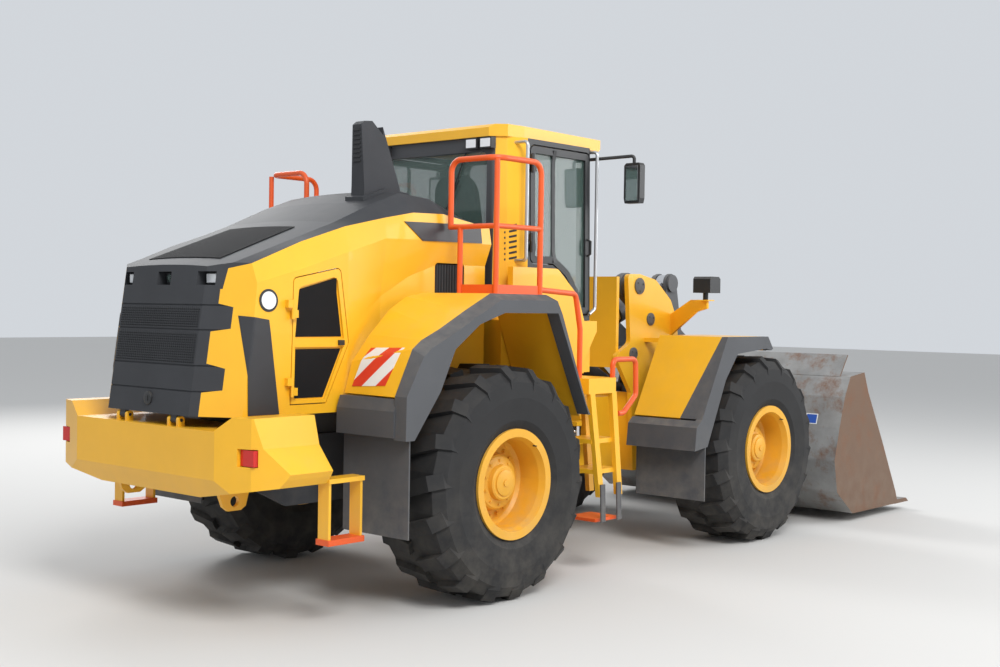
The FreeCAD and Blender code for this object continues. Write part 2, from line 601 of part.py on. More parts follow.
def cab_form(inset, low, high):
    """Cab body between two heights, set in on all sides."""
    wires = []
    for level, narrow in ((d.cab_floor, 0), (d.cab_top, d.cab_narrowing)):
        corners = []
        for x, y, radius in CAB_PLAN:
            side = 1 if y > 0 else -1
            x_in = x + inset if x < -600 else x - inset
            corners.append((x_in, y - side * (inset + narrow), radius))
        wires.append(outline("xy", corners, level))
    form = Part.makeLoft(wires, True, True)
    return form.common(block(-2000, 1000, -1500, 1500, low, high))


side_opening = [(-930, 2430, 60), (-930, 3370, 60), (-150, 3370, 60), (-150, 2030, 60),
                (-300, 2030), (-370, 2200, 80), (-480, 2340, 80), (-640, 2430)]


def shrunk(corners, amount):
    """Outline moved inwards by an amount, for a pane or door in its opening."""
    wire = outline("xz", corners)
    inner = wire.makeOffset2D(-amount)
    if Part.Face(inner).Area > Part.Face(wire).Area:
        inner = wire.makeOffset2D(amount)
    return inner


def wire_prism(wire, low, high):
    moved = wire.copy()
    moved.translate(Vector(0, low, 0))
    return Part.Face(moved).extrude(Vector(0, high - low, 0))


def centred(half, low, high, corner=60):
    return [(-half, low, corner), (-half, high, corner), (half, high, corner), (half, low, corner)]


CAB_KNUCKLES = (2520, 3140)
cab_outer = cab_form(0, d.cab_floor, d.cab_top)
cab_inner = cab_form(d.cab_wall, d.cab_floor, d.cab_top)
cab_shell = cab_outer.cut(cab_inner)
wall_low, wall_high = 600, 1000
doorway = slab("xz", side_opening, wall_low, wall_high)
rear_window = slab("yz", centred(620, 2450, 3300), -1300, -1100)
front_window = slab("yz", centred(640, 2030, 3360), -100, 100)
cab_frame = cab_shell.cut([doorway, mirrored(doorway), rear_window, front_window])
rear_half = block(-1300, -d.black_frame_start, -1000, 1000, 1900, 3500)
front_half = block(d.seat_gap - d.black_frame_start, 100, -1000, 1000, 1900, 3500)
feature("cab_rear_frame", cab_frame.common(rear_half))
pillar_knuckles = [joined(rod((-938, 868, z + 80 + d.seat_gap), (-938, 868, z + 150), 12),
                          block(-954, -938, 800, 876, z + 85, z + 145)) for z in CAB_KNUCKLES]
feature("cab_front_frame", joined(cab_frame.common(front_half), *pillar_knuckles,
                                  *map(mirrored, pillar_knuckles)))

pane_sheet = cab_form(20, d.cab_floor, d.cab_top).cut(
    cab_form(20 + d.glass_thickness, d.cab_floor, d.cab_top))
gap = d.seat_gap
rear_pane = pane_sheet.common(slab("yz", centred(620 - gap, 2450 + gap, 3300 - gap), -1300, -1100))
front_pane = pane_sheet.common(slab("yz", centred(640 - gap, 2030 + gap, 3360 - gap), -100, 100))
feature("cab_glass", Part.makeCompound([rear_pane, front_pane]))

door_leaf = cab_shell.common(wire_prism(shrunk(side_opening, d.door_gap), wall_low, wall_high))
door_frame = door_leaf.cut(wire_prism(shrunk(side_opening, d.door_gap + 55), wall_low, wall_high))
cab_knuckles = [joined(rod((-938, 868, z), (-938, 868, z + 80), 12),
                       block(-938, -900, 857, 876, z + 10, z + 70),
                       block(-915, -900, 815, 860, z + 10, z + 70)) for z in CAB_KNUCKLES]
door_frame = joined(door_frame, *cab_knuckles)
door_pane = pane_sheet.common(wire_prism(shrunk(side_opening, d.door_gap + 55 + d.seat_gap),
                                         wall_low, wall_high))
feature("cab_door_left", door_frame)
feature("cab_door_right", mirrored(door_frame))
feature("door_glass_left", door_pane)
feature("door_glass_right", mirrored(door_pane))

# Roof: deep fascia round the cab's head, and a thin visor over the windscreen
roof_base = d.cab_top + d.seat_gap
roof_top = d.cab_top + d.roof_thickness
roof_side = [(-1225, roof_base), (-1225, roof_top - 25), (-1195, roof_top), (200, roof_top), (245, roof_top - 22),
             (245, roof_top - 50), (110, roof_top - 55), (70, roof_base)]
roof_plan = [(-1240, -640), (-1240, 640), (-1130, 770), (-950, 785), (90, 745), (130, 690), (260, 600),
             (260, -600), (130, -690), (90, -745), (-950, -785), (-1130, -770)]
roof = slab("xz", roof_side, -800, 800).common(slab("xy", roof_plan, roof_base - 10, roof_top + 10))
feature("cab_roof", roof)

# Cab base: floor tub with flared shoulders that curve down to the front
shoulder = slab("xz", [(-1200, 1998), (-1200, 2400), (-650, 2400, 60), (-385, 2190, 140), (-295, 1980),
                       (-295, d.base_bottom), (-1008, d.base_bottom)], d.cab_half_width + 3, 905)
cab_base_side = shoulder
tub = block(-1190, -60, -785, 785, d.base_bottom, d.cab_floor - d.seat_gap)
shelf = slab("xz", [(-1020, 1600), (-1190, 1985), (-60, 1985), (-60, 1900), (-295, d.base_bottom),
                    (-1003, d.base_bottom)],
             700, d.cab_half_width + 5)
base = joined(tub, shelf, mirrored(shelf), shoulder, mirrored(shoulder))
feature("cab_base", base)

seat = Part.makeCompound([
    joined(slab("xz", [(-820, 2380), (-820, 2490, 30), (-300, 2490, 50), (-300, 2380, 40)], -250, 250),
           slab("xz", [(-830, 2440), (-960, 3150, 50), (-860, 3180, 50), (-700, 2440)], -240, 240),
           block(-760, -420, -180, 180, d.cab_floor + d.seat_gap, 2400)),
    joined(slab("xz", [(-300, d.cab_floor + d.seat_gap), (-280, 2600), (-210, 2640),
                       (-190, d.cab_floor + d.seat_gap)], -70, 70),
           rod((-245, 0, 2560), (-285, 0, 2700), 28),
           rod((-298, 0, 2695), (-285, 0, 2735), 60)),
])
wheel = Part.makeTorus(185, 15, Vector(-288, 0, 2720), Vector(-0.3, 0, 1))
spokes = rod((-288, -180, 2720), (-288, 180, 2720), 11)
feature("operator_seat", Part.makeCompound(seat.Solids[:1] + [joined(seat.Solids[1], spokes),
                                                              wheel.cut(spokes)]))


# Handrails on the rear fenders, and the ladders' rails
deck = d.rear_fender_top + d.seat_gap
outer, inner, upper, middle = 1255, 808, 3159, 2670
front_post, rear_post = -1304, -1797
tube = d.rail_radius
hoop = bent_tube([(rear_post, inner, middle - 4), (rear_post, inner, upper), (rear_post, outer, upper),
                  (front_post, outer, upper), (front_post, outer, deck)], tube, d.rail_bend)
cage = joined(hoop, rod((rear_post, outer, deck), (rear_post, outer, upper - 12), tube - 1),
              rod((rear_post, inner - 12, middle), (rear_post, outer, middle), tube - 2),
              rod((rear_post, outer, middle), (front_post, outer, middle), tube - 2),
              rod((rear_post, 905, deck), (rear_post, 905, middle), tube - 1))
kick = joined(block(rear_post + 24, front_post - 24, outer - 5, outer + 5, deck, deck + 65),
              block(rear_post - 5, rear_post + 5, 930, outer - 24, deck, deck + 65))
step_top = 1550 + d.seat_gap
fender_rail = bent_tube([(-1345, 1200, deck), (-1345, 1200, 2228), (-800, 1200, 2200),
                         (-735, 1200, 1926), (-735, 1200, step_top)], tube, 50)
loop_rail = bent_tube([(-450, 1310, step_top), (-450, 1310, 1690), (-142, 1310, 1690),
                       (-130, 1310, 1400), (-300, 1310, 1262), (-372, 1310, 1262)], tube, 50)
feature("handrails", Part.makeCompound([pair(shape) for shape in (cage, kick, fender_rail, loop_rail)]))

# Silver grab rails beside the cab door
door_rail = bent_tube([(-1050, 740, 3370), (-1050, 905, 3370), (-1050, 905, 2452), (-1050, 740, 2452)],
                      d.grab_rail_radius, 30)
pillar_rail = bent_tube([(-125, 690, 3380), (-112, 868, 3380), (-112, 868, 2085), (-190, 868, 2040)],
                        d.grab_rail_radius, 30)
grab_rails = [door_rail, pillar_rail]
feature("grab_rails", Part.makeCompound([pair(rail.cut([cab_outer, cab_base_side])) for rail in grab_rails]))

# Ladders: platform box, two stringers and steps, beside the cab
ladder = joined(
    block(-780, -430, 905.3, 1330, 1430, 1550),
    slab("xz", [(-760, 1440), (-700, 1440), (-560, 620), (-620, 620)], 1290, 1330),
    slab("xz", [(-480, 1440), (-420, 1440), (-320, 620), (-380, 620)], 1290, 1330),
    slab("xz", [(-760, 1440), (-700, 1440), (-560, 620), (-620, 620)], 1010, 1050),
    slab("xz", [(-480, 1440), (-420, 1440), (-320, 620), (-380, 620)], 1010, 1050),
    block(-700, -400, 1040, 1300, 1040, 1075),
    block(-650, -360, 1040, 1300, 800, 835),
)

step_back = -d.rear_reach + d.ballast_length + d.seat_gap
rear_step = joined(
    block(step_back, -3000, 1090, 1210, 955, 985),
    block(step_back + 5, step_back + 25, 1100, 1200, 560, 960), block(-3030, -3010, 1100, 1200, 560, 960),
    block(step_back, -3000, 1090, 1210, 560, 595))
feature("ladders", Part.makeCompound([pair(ladder), pair(rear_step)]))


# Front frame: lower box with the hinge lugs, tower plates and cross plates
def front_chassis():
    half, plate = d.tower_half_width, d.tower_plate
    over_axle = d.frame_top - 160
    side = slab("xz", [
        (880, 2405, 40), (1064, 2410, 60), (1324, 2362, 100), (1574, 2179, 100), (1690, 1980, 80),
        (1720, 1560, 120), (2080, 1300, 60), (2120, over_axle), (1380, over_axle), (1300, 620),
        (1000, 620), (960, 1330), (707, 1669, 40), (934, 1783, 60)], half - plate, half)
    inside = half - plate
    parts = [side, mirrored(side)]
    parts.append(block(770, 810, -inside, inside, 1560, 2380))
    tilt_x, tilt_z = d.tilt_base_x, d.tilt_base_z
    tilt_fork = slab("xz", [(800, 1800), (800, 2130), (tilt_x - 120, tilt_z + 82), (tilt_x, tilt_z + 85),
                            (tilt_x + 60, tilt_z + 60), (tilt_x + 85, tilt_z), (tilt_x, tilt_z - 85)],
                     d.eye_half + d.side_gap, d.eye_half + d.side_gap + 40)
    parts += [tilt_fork, mirrored(tilt_fork)]
    lift_web = slab("xz", [(800, 1575), (800, 1860), (1000, 1790), (1080, 1700), (1040, 1590)], 195, 230)
    parts += [lift_web, mirrored(lift_web)]
    parts.append(block(1000, 1040, -inside, inside, 620, 1330))
    under_fender = d.front_fender_top - d.fender_sheet - d.seat_gap
    fender_arm = block(1150, 1230, half - 5, d.wheel_offset - 330, under_fender - 40, under_fender)
    parts += [fender_arm, mirrored(fender_arm)]
    box_side = slab("xz", [(450, 620), (450, 1290), (1010, 1290), (1010, 620)], 260, 300)
    parts += [box_side, mirrored(box_side)]
    parts.append(block(450, 490, -300, 300, 620, 1290))
    parts.append(block(450, 1010, -300, 300, 1250, 1290))
    bare = joined(*parts)
    lugs = []
    for level in (d.hinge_upper, d.hinge_lower):
        low = level - d.hinge_lug / 2
        lugs.append(slab("xy", [(470, -290), (470, 290), (150, 130),
                                (-d.hinge_nose, d.hinge_nose, d.hinge_nose - 1),
                                (-d.hinge_nose, -d.hinge_nose, d.hinge_nose - 1), (150, -130)],
                         low, low + d.hinge_lug))
    for y in (-d.steer_front_y, d.steer_front_y):
        for low in (d.steer_height - d.steer_eye_half - d.side_gap - 34,
                    d.steer_height + d.steer_eye_half + d.side_gap):
            lugs.append(block(d.steer_front_x - 60, 475, y - 50, y + 50, low, low + 34))
    lugs.append(block(450, 490, -d.steer_front_y - 55, d.steer_front_y + 55, 890, 1110))
    bare = joined(bare, *lugs)
    bore = d.pin_radius + d.pin_clearance
    holes = [rod((0, 0, level - 150), (0, 0, level + 150), d.hinge_pin_radius + d.pin_clearance)
             for level in (d.hinge_upper, d.hinge_lower)]
    holes.append(rod((440, 0, d.tyre_radius), (1060, 0, d.tyre_radius), d.shaft_radius + d.shaft_room))
    holes += [cross_bar(x, z, bore, -600, 600) for x, z in (
        (d.boom_pin_x, d.boom_pin_z), (d.tilt_base_x, d.tilt_base_z), (d.lift_base_x, d.lift_base_z))]
    return feature("front_chassis", bare.cut(holes))


front_chassis()


def bridge(x0, z0, r0, x1, z1, r1, low, high):
    """Tapered plate round two bosses, in the plane of the linkage."""
    length = hypot(x1 - x0, z1 - z0)
    along = Vector((x1 - x0) / length, (z1 - z0) / length, 0)
    lean = (r0 - r1) / length
    rise = sqrt(1 - lean * lean)
    corners = []
    for side in (1, -1):
        normal = Vector(-along.y, along.x, 0) * (side * rise) + along * lean
        a, b = normal * r0, normal * r1
        ends = [(x0 + a.x, z0 + a.y), (x1 + b.x, z1 + b.y)]
        corners += ends if side == 1 else ends[::-1]
    body = slab("xz", corners, low, high)
    return joined(body, cross_bar(x0, z0, r0, low, high), cross_bar(x1, z1, r1, low, high))



inner_arm = d.arm_offset - d.arm_plate / 2
outer_arm = d.arm_offset + d.arm_plate / 2
knee = (d.knee_x, d.knee_z)
fork_in = d.eye_half + d.side_gap
fork_out = fork_in + d.fork_plate
bore = d.pin_radius + d.pin_clearance
tower_face = d.tower_half_width - d.tower_plate
boss_half = 25


def bored(shape, *places):
    return shape.cut([cross_bar(x, z, bore, -700, 700) for x, z in places])


# Boom: two arms with a knee, a cross tube and brackets for the lever
def boom():
    pin = (d.boom_pin_x, d.boom_pin_z)
    tip = (d.bucket_pin_x, d.bucket_pin_z)
    arm = joined(bridge(*pin, 120, *knee, 150, inner_arm, outer_arm),
                 bridge(*knee, 150, *tip, 95, inner_arm, outer_arm),
                 cross_bar(*pin, 110, inner_arm - boss_half, tower_face - d.side_gap),
                 cross_bar(*tip, 80, inner_arm - boss_half, outer_arm + boss_half))
    tube_at = (d.cross_tube_x, d.cross_tube_z)
    tube = cross_bar(*tube_at, 105, -inner_arm - 5, inner_arm + 5)
    web = bridge(*tube_at, 112, *knee, 130, inner_arm, outer_arm)
    lugs = []
    for low in (-fork_out - d.side_gap - 35, fork_out + d.side_gap):
        lugs.append(bridge(d.lever_pin_x, d.lever_pin_z, 92, *tube_at, 125, low, low + 35))
    eye = (d.lift_eye_x, d.lift_eye_z)
    ears = []
    for low in (d.arm_offset - d.eye_half - d.side_gap - 30, d.arm_offset + d.eye_half + d.side_gap):
        ear = bridge(*eye, 62, eye[0] + 130, eye[1] + 330, 100, low, low + 30)
        outside = low if low > d.arm_offset else low - 15
        ears.append(joined(ear, cross_bar(*eye, 58, outside, outside + 45)))
    cheeks = slab("xz", [(eye[0] + 50, eye[1] + 260), (eye[0] + 200, eye[1] + 260),
                         (eye[0] + 215, eye[1] + 330), (eye[0] + 50, eye[1] + 330)],
                  d.arm_offset - d.eye_half - d.side_gap - 30, d.arm_offset + d.eye_half + d.side_gap + 30)
    left = joined(arm, web, *ears, cheeks)
    whole = joined(left, mirrored(left), tube, *lugs)
    return bored(whole, pin, tip, (d.lever_pin_x, d.lever_pin_z))


feature("boom", boom())

# Fixed pins of the front frame
reach = d.tower_half_width
feature("linkage_pins", Part.makeCompound([
    cross_bar(d.boom_pin_x, d.boom_pin_z, d.pin_radius, 290, reach + 12),
    cross_bar(d.boom_pin_x, d.boom_pin_z, d.pin_radius, -reach - 12, -290),
    cross_bar(d.lift_base_x, d.lift_base_z, d.pin_radius, 195, reach + 12),
    cross_bar(d.lift_base_x, d.lift_base_z, d.pin_radius, -reach - 12, -195),
    cross_bar(d.tilt_base_x, d.tilt_base_z, d.pin_radius, -fork_in - 40, fork_in + 40)]))

# Lever: two plates round a hub, with the rod's stubs at its head
def lever():
    hub, head, foot = ((d.lever_pin_x, d.lever_pin_z), (d.rod_pin_x, d.rod_pin_z),
                       (d.link_pin_x, d.link_pin_z))
    plates = []
    for low in (-fork_out, fork_in):
        plates.append(joined(bridge(*hub, 115, *head, 96, low, low + d.fork_plate),
                             bridge(*hub, 115, *foot, 62, low, low + d.fork_plate)))
        outside = low - 28 if low < 0 else low
        plates.append(cross_bar(*head, 85, outside, outside + d.fork_plate + 28))
    hub_tube = cross_bar(*hub, 90, -fork_out, fork_out)
    return bored(joined(hub_tube, *plates), hub)


feature("lever", lever())
feature("lever_pin", cross_bar(d.lever_pin_x, d.lever_pin_z, d.pin_radius,
                               -fork_out - d.side_gap - 50, fork_out + d.side_gap + 50))

# Link from the lever's foot to the bucket's middle ear
foot = (d.link_pin_x, d.link_pin_z)
ear_pin = (d.ear_pin_x, d.ear_pin_z)
feature("link", bored(bridge(*foot, 62, *ear_pin, 70, -d.eye_half, d.eye_half), ear_pin))
feature("link_pin", cross_bar(*ear_pin, d.pin_radius, -fork_out - 15, fork_out + 15))

# Bucket: bent shell, two ends, cutting edge, spill guard and ears
def bucket():
    half, plate, floor = d.bucket_half_width, d.bucket_plate, d.bucket_floor
    tip = d.front_reach
    back = [(3360, floor + 3), (3018, 330), (2953, 640), (3044, 960), (3145, 1257), (3256, 1455), (3560, 1489)]
    shell_path = [(tip - 40, floor + 3)] + back
    shell = strip(shell_path, plate, -half, half, 70)
    edge = slab("xz", [(tip, floor), (tip - 330, floor), (tip - 330, floor + 45), (tip - 60, floor + 40)],
                -half, half)
    end = slab("xz", [(4400, floor + 3)] + back + [(3655, 1289), (3996, 773), (4338, 222)], half - plate, half)
    guard = strip([(3262, 1452), (3425, 1665)], 16, -half + 120, half - 120)
    ears = []
    centre_in, centre_out = fork_in, fork_out
    for y in (-d.arm_offset, d.arm_offset):
        for low in (y - d.arm_plate / 2 - boss_half - d.side_gap - 35,
                    y + d.arm_plate / 2 + boss_half + d.side_gap):
            ears.append(joined(
                slab("xz", [(d.bucket_pin_x - 50, d.bucket_pin_z - 75), (3030, 335), (2970, 640),
                            (d.bucket_pin_x + 10, d.bucket_pin_z + 85)], low, low + 35),
                cross_bar(d.bucket_pin_x, d.bucket_pin_z, 88, low, low + 35)))
    for low in (-centre_out, centre_in):
        ears.append(joined(
            slab("xz", [(d.ear_pin_x - 20, d.ear_pin_z - 75), (2990, 500), (2980, 720), (3058, 960),
                        (d.ear_pin_x - 10, d.ear_pin_z + 80)], low, low + d.fork_plate),
            cross_bar(*ear_pin, 80, low, low + d.fork_plate)))
    whole = joined(shell, edge, end, mirrored(end), guard, *ears)
    return bored(whole, (d.bucket_pin_x, d.bucket_pin_z), ear_pin)


feature("bucket", bucket())
pin_in = d.arm_offset - d.arm_plate / 2 - boss_half - d.side_gap - 50
pin_out = d.arm_offset + d.arm_plate / 2 + boss_half + d.side_gap + 50
feature("bucket_pins", pair(cross_bar(d.bucket_pin_x, d.bucket_pin_z, d.pin_radius, pin_in, pin_out)))


# Cylinders: barrel with its base eye, and a rod with an eye, between two points at one y
def cylinder(base, eye, barrel_radius, rod_radius, rod_start, mouth, y, eye_half, eye_radius):
    """Barrel and rod between two pins in the plane of the linkage."""
    (x0, z0), (x1, z1) = base, eye
    length = hypot(x1 - x0, z1 - z0)
    ux, uz = (x1 - x0) / length, (z1 - z0) / length

    def at(distance):
        return (x0 + ux * distance, y, z0 + uz * distance)

    start = eye_radius + 15
    end = mouth
    barrel = joined(rod(at(start), at(end), barrel_radius),
                    rod(at(0), at(start + 8), eye_half - 4),
                    cross_bar(x0, z0, eye_radius, y - eye_half, y + eye_half),
                    rod(at(end - 60), at(end), barrel_radius + 12))
    barrel = barrel.cut([cross_bar(x0, z0, bore, -700, 700),
                         rod(at(start + 15), at(end + 5), rod_radius + d.pin_clearance)])
    piston = joined(rod(at(rod_start), at(length - 20), rod_radius),
                    cross_bar(x1, z1, eye_radius, y - eye_half, y + eye_half))
    return barrel, piston


lift_base = (d.lift_base_x, d.lift_base_z)
lift_eye = (d.lift_eye_x, d.lift_eye_z)
barrel, piston = cylinder(lift_base, lift_eye, d.lift_barrel_radius, d.lift_rod_radius, 150, 1000,
                          d.arm_offset, d.eye_half, 66)
for name, shapes in (("left", (barrel, piston)), ("right", (mirrored(barrel), mirrored(piston)))):
    feature(f"lift_cylinder_{name}", shapes[0])
    feature(f"lift_rod_{name}", shapes[1])
barrel, piston = cylinder((d.tilt_base_x, d.tilt_base_z), (d.rod_pin_x, d.rod_pin_z),
                          d.tilt_barrel_radius, d.tilt_rod_radius, 430, 640, 0, d.eye_half, 85)
feature("tilt_cylinder", barrel)
feature("tilt_rod", piston)


def steering(side):
    """Steering cylinder lying between the two frames."""
    start = Vector(-d.steer_rear_x, side * d.steer_rear_y, d.steer_height)
    end = Vector(d.steer_front_x, side * d.steer_front_y, d.steer_height)
    length = start.distanceToPoint(end)
    along = (end - start).normalize()

    def at(distance):
        return start + along * distance

    def eye(place):
        return Part.makeCylinder(42, 2 * d.steer_eye_half, place - Vector(0, 0, d.steer_eye_half))

    bore_tool = Part.makeCylinder(d.steer_pin_radius + d.pin_clearance, 200, start - Vector(0, 0, 100))
    barrel = joined(Part.makeCylinder(d.steer_barrel_radius, 530, at(70), along),
                    Part.makeCylinder(30, 85, at(0), along), eye(start))
    barrel = barrel.cut([bore_tool, Part.makeCylinder(d.steer_rod_radius + d.pin_clearance, length, at(110), along)])
    piston = joined(Part.makeCylinder(d.steer_rod_radius, length - 350, at(330), along), eye(end))
    return barrel, piston


for name, side in (("left", 1), ("right", -1)):
    barrel, piston = steering(side)
    feature(f"steer_cylinder_{name}", barrel)
    feature(f"steer_rod_{name}", piston)

# Headlamps on slanting plates from the tower
foot_at, tip_at = Vector(1575, 490 + d.seat_gap, 0), Vector(1312, 1050, 0)
plan_run = tip_at - foot_at
edge_points = [(0, 1850), (0, 2050), (0.56, 2183), (1, 2183), (1, 2105), (0.72, 2074)]
wire = Part.makePolygon([foot_at + plan_run * share + Vector(0, 0, z)
                         for share, z in edge_points + edge_points[:1]])
normal = Vector(plan_run.y, -plan_run.x, 0).normalize()
bracket = joined(Part.Face(wire).extrude(normal * 22),
                 block(1290, 1400, 960, 1075, 2173, 2183))
feature("headlamp_brackets", pair(bracket))
lamp_body = joined(
    slab("xz", [(1255, 2245), (1255, 2370), (1275, 2391), (1400, 2391), (1425, 2370), (1425, 2245)], 940, 1120),
    rod((1340, 1020, 2183 + d.seat_gap), (1340, 1020, 2250), 24))
feature("headlamps", pair(lamp_body))

# Mirrors on arms, and the lamps under the roof's rear corners
mirror = joined(slab("yz", [(1050, 2960), (1040, 3000), (1040, 3270), (1060, 3290), (1185, 3290),
                            (1200, 3270), (1200, 3000), (1190, 2960)], 30, 100),
                bent_tube([(-115, 690, 3320), (60, 1120, 3350), (60, 1120, 3280)], 14, 25))
fitting_parts = [pair(mirror.cut([cab_outer, roof]))]
for y in (440, 590):
    fitting_parts.append(pair(block(-d.cab_rear - 55, -d.cab_rear - d.seat_gap, y, y + 120, 3315, 3400)))
feature("cab_fittings", Part.makeCompound(fitting_parts))

doc.recompute()
problems = []
for thing in nodes:
    state = [word for word in thing.State if word in ("Invalid", "Error")]
    shape = thing.Shape
    if state or shape.isNull() or not shape.isValid():
        problems.append(f"{thing.Label}: {state or 'shape'}")
if problems:
    raise RuntimeError(", ".join(problems))
for thing in nodes:
    thing.Shape.exportStep(f"parts/{thing.Label}.step")
    box = thing.Shape.BoundBox
    print(thing.Label, len(thing.Shape.Solids), round(box.XMin), round(box.XMax), round(box.YMin),
          round(box.YMax), round(box.ZMin), round(box.ZMax))
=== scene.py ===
import bpy
import bmesh
import json
from math import cos, pi, radians, sin
from mathutils import Matrix, Vector


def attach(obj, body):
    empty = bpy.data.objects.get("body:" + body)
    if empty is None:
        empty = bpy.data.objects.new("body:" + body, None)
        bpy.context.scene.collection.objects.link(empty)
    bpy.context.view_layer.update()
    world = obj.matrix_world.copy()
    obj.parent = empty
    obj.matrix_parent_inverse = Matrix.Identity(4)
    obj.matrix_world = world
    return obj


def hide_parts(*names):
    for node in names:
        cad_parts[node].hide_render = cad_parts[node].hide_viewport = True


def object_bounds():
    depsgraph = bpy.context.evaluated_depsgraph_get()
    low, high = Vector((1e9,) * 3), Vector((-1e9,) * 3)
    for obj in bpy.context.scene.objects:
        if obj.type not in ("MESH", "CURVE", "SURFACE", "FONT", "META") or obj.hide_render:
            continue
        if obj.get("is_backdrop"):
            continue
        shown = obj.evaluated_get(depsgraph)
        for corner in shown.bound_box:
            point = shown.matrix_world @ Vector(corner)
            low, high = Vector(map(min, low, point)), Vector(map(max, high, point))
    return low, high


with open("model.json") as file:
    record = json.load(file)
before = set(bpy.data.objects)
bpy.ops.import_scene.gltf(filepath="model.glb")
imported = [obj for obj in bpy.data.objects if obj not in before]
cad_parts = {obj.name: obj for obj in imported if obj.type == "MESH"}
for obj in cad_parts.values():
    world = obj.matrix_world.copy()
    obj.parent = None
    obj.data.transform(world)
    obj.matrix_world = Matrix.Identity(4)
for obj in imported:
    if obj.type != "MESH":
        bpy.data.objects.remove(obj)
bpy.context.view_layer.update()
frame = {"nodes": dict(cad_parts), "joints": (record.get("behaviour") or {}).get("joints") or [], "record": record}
nodes = frame["nodes"]

# Lengths are in millimetres from the articulation hinge, as in the CAD; x forwards, y left, z up.
MM = 0.001
HINGE = next(j for j in frame["joints"] if j["name"] == "articulation")["pos_m"]
SIDES = (("left", 1), ("right", -1))
WHEEL_X, WHEEL_Z = 1775, 840
# Rays start outside the machine: beyond its flanks, behind it, ahead of its tower and above its deck
OUTSIDE, BEHIND, AHEAD, ABOVE = 1600, -5000, 2000, 3600
FORWARDS, BACKWARDS, DOWN = (1, 0, 0), (-1, 0, 0), (0, 0, -1)
LIFT = 1.0


def at(x, y, z):
    """A place in the hinge's millimetres as a point of the row frame."""
    return Vector((HINGE[0] + x * MM, y * MM, z * MM))


# Materials: one function makes a shader with noise, dust and wear, and a short table names them all
RUST, DUST = (0.19, 0.085, 0.04, 1.0), (0.33, 0.29, 0.23, 1.0)
DUST_REACH = (1.2, 0.1)
BUMP_HEIGHT = 0.002


def shader(name, base, rough=0.5, metal=0.0, dust=0.0, vary=0.12, scale=3.0, bump=0.0,
           bump_scale=60.0, coat=0.0, rust=0.0, low_dust=0.0, zone=None, bands=None, shine=0.5):
    """Procedural surface: tone variation, dust on upward and low faces, rust patches, fine bump.

    zone is (colour, source, axis, low, high): the colour past a distance or a slope from the middle.
    bands is (colour, period): diagonal stripes across the machine.
    """
    made = bpy.data.materials.new(name)
    made.use_nodes = True
    tree = made.node_tree
    link = tree.links.new
    face = tree.nodes["Principled BSDF"]
    face.inputs["Roughness"].default_value = rough
    face.inputs["Metallic"].default_value = metal
    face.inputs["Coat Weight"].default_value = coat
    face.inputs["Specular IOR Level"].default_value = shine
    place = tree.nodes.new("ShaderNodeNewGeometry")
    coords = tree.nodes.new("ShaderNodeTexCoord")

    def noise(size, detail=4.0, roughness=0.6):
        made_noise = tree.nodes.new("ShaderNodeTexNoise")
        made_noise.inputs["Scale"].default_value = size
        made_noise.inputs["Detail"].default_value = detail
        made_noise.inputs["Roughness"].default_value = roughness
        link(coords.outputs["Object"], made_noise.inputs["Vector"])
        return made_noise.outputs["Fac"]

    def ramp(value, low, high):
        made_ramp = tree.nodes.new("ShaderNodeMapRange")
        made_ramp.inputs["From Min"].default_value = low
        made_ramp.inputs["From Max"].default_value = high
        link(value, made_ramp.inputs["Value"])
        return made_ramp.outputs["Result"]

    def mix(factor, first, second):
        made_mix = tree.nodes.new("ShaderNodeMix")
        made_mix.data_type = "RGBA"
        link(factor, made_mix.inputs["Factor"])
        for socket, value in (("A", first), ("B", second)):
            target = next(s for s in made_mix.inputs if s.name == socket and s.type == "RGBA")
            if isinstance(value, tuple):
                target.default_value = value
            else:
                link(value, target)
        return next(s for s in made_mix.outputs if s.type == "RGBA")

    def maths(kind, first, second):
        made_maths = tree.nodes.new("ShaderNodeMath")
        made_maths.operation = kind
        for index, value in enumerate((first, second)):
            if isinstance(value, (int, float)):
                made_maths.inputs[index].default_value = value
            else:
                link(value, made_maths.inputs[index])
        return made_maths.outputs[0]

    def parts_of(vector):
        made_split = tree.nodes.new("ShaderNodeSeparateXYZ")
        link(vector, made_split.inputs[0])
        return made_split.outputs

    darker = tuple(c * (1 - vary) for c in base)
    colour = mix(ramp(noise(scale), 0.35, 0.65), base + (1.0,), darker + (1.0,))
    if zone:
        second, source, axis, low, high = zone
        share = ramp(maths("ABSOLUTE", parts_of(coords.outputs[source])[axis], 0), low, high)
        colour = mix(share, colour, second + (1.0,))
    if bands:
        second, period = bands
        split = parts_of(coords.outputs["Object"])
        wave = maths("PINGPONG", maths("ADD", split["Y"], split["Z"]), period / 2)
        colour = mix(ramp(wave, period * 0.24, period * 0.26), colour, second + (1.0,))
    if rust:
        patches = ramp(noise(scale * 1.7, 8.0, 0.7), 0.62 - rust * 0.25, 0.7)
        colour = mix(patches, colour, RUST)
    if dust:
        upward = ramp(parts_of(place.outputs["Normal"])["Z"], 0.1, 1.0)
        cloud = ramp(noise(scale * 2.6, 6.0), 0.35, 0.75)
        amount = maths("MULTIPLY", maths("MULTIPLY", upward, cloud), dust)
        if low_dust:
            low = ramp(parts_of(place.outputs["Position"])["Z"], *DUST_REACH)
            amount = maths("ADD", amount, maths("MULTIPLY", maths("MULTIPLY", low, cloud), low_dust))
        colour = mix(amount, colour, DUST)
    link(colour, face.inputs["Base Color"])
    if bump:
        rough_skin = tree.nodes.new("ShaderNodeBump")
        rough_skin.inputs["Strength"].default_value = bump
        rough_skin.inputs["Distance"].default_value = BUMP_HEIGHT
        link(noise(bump_scale, 5.0), rough_skin.inputs["Height"])
        link(rough_skin.outputs["Normal"], face.inputs["Normal"])
    return made


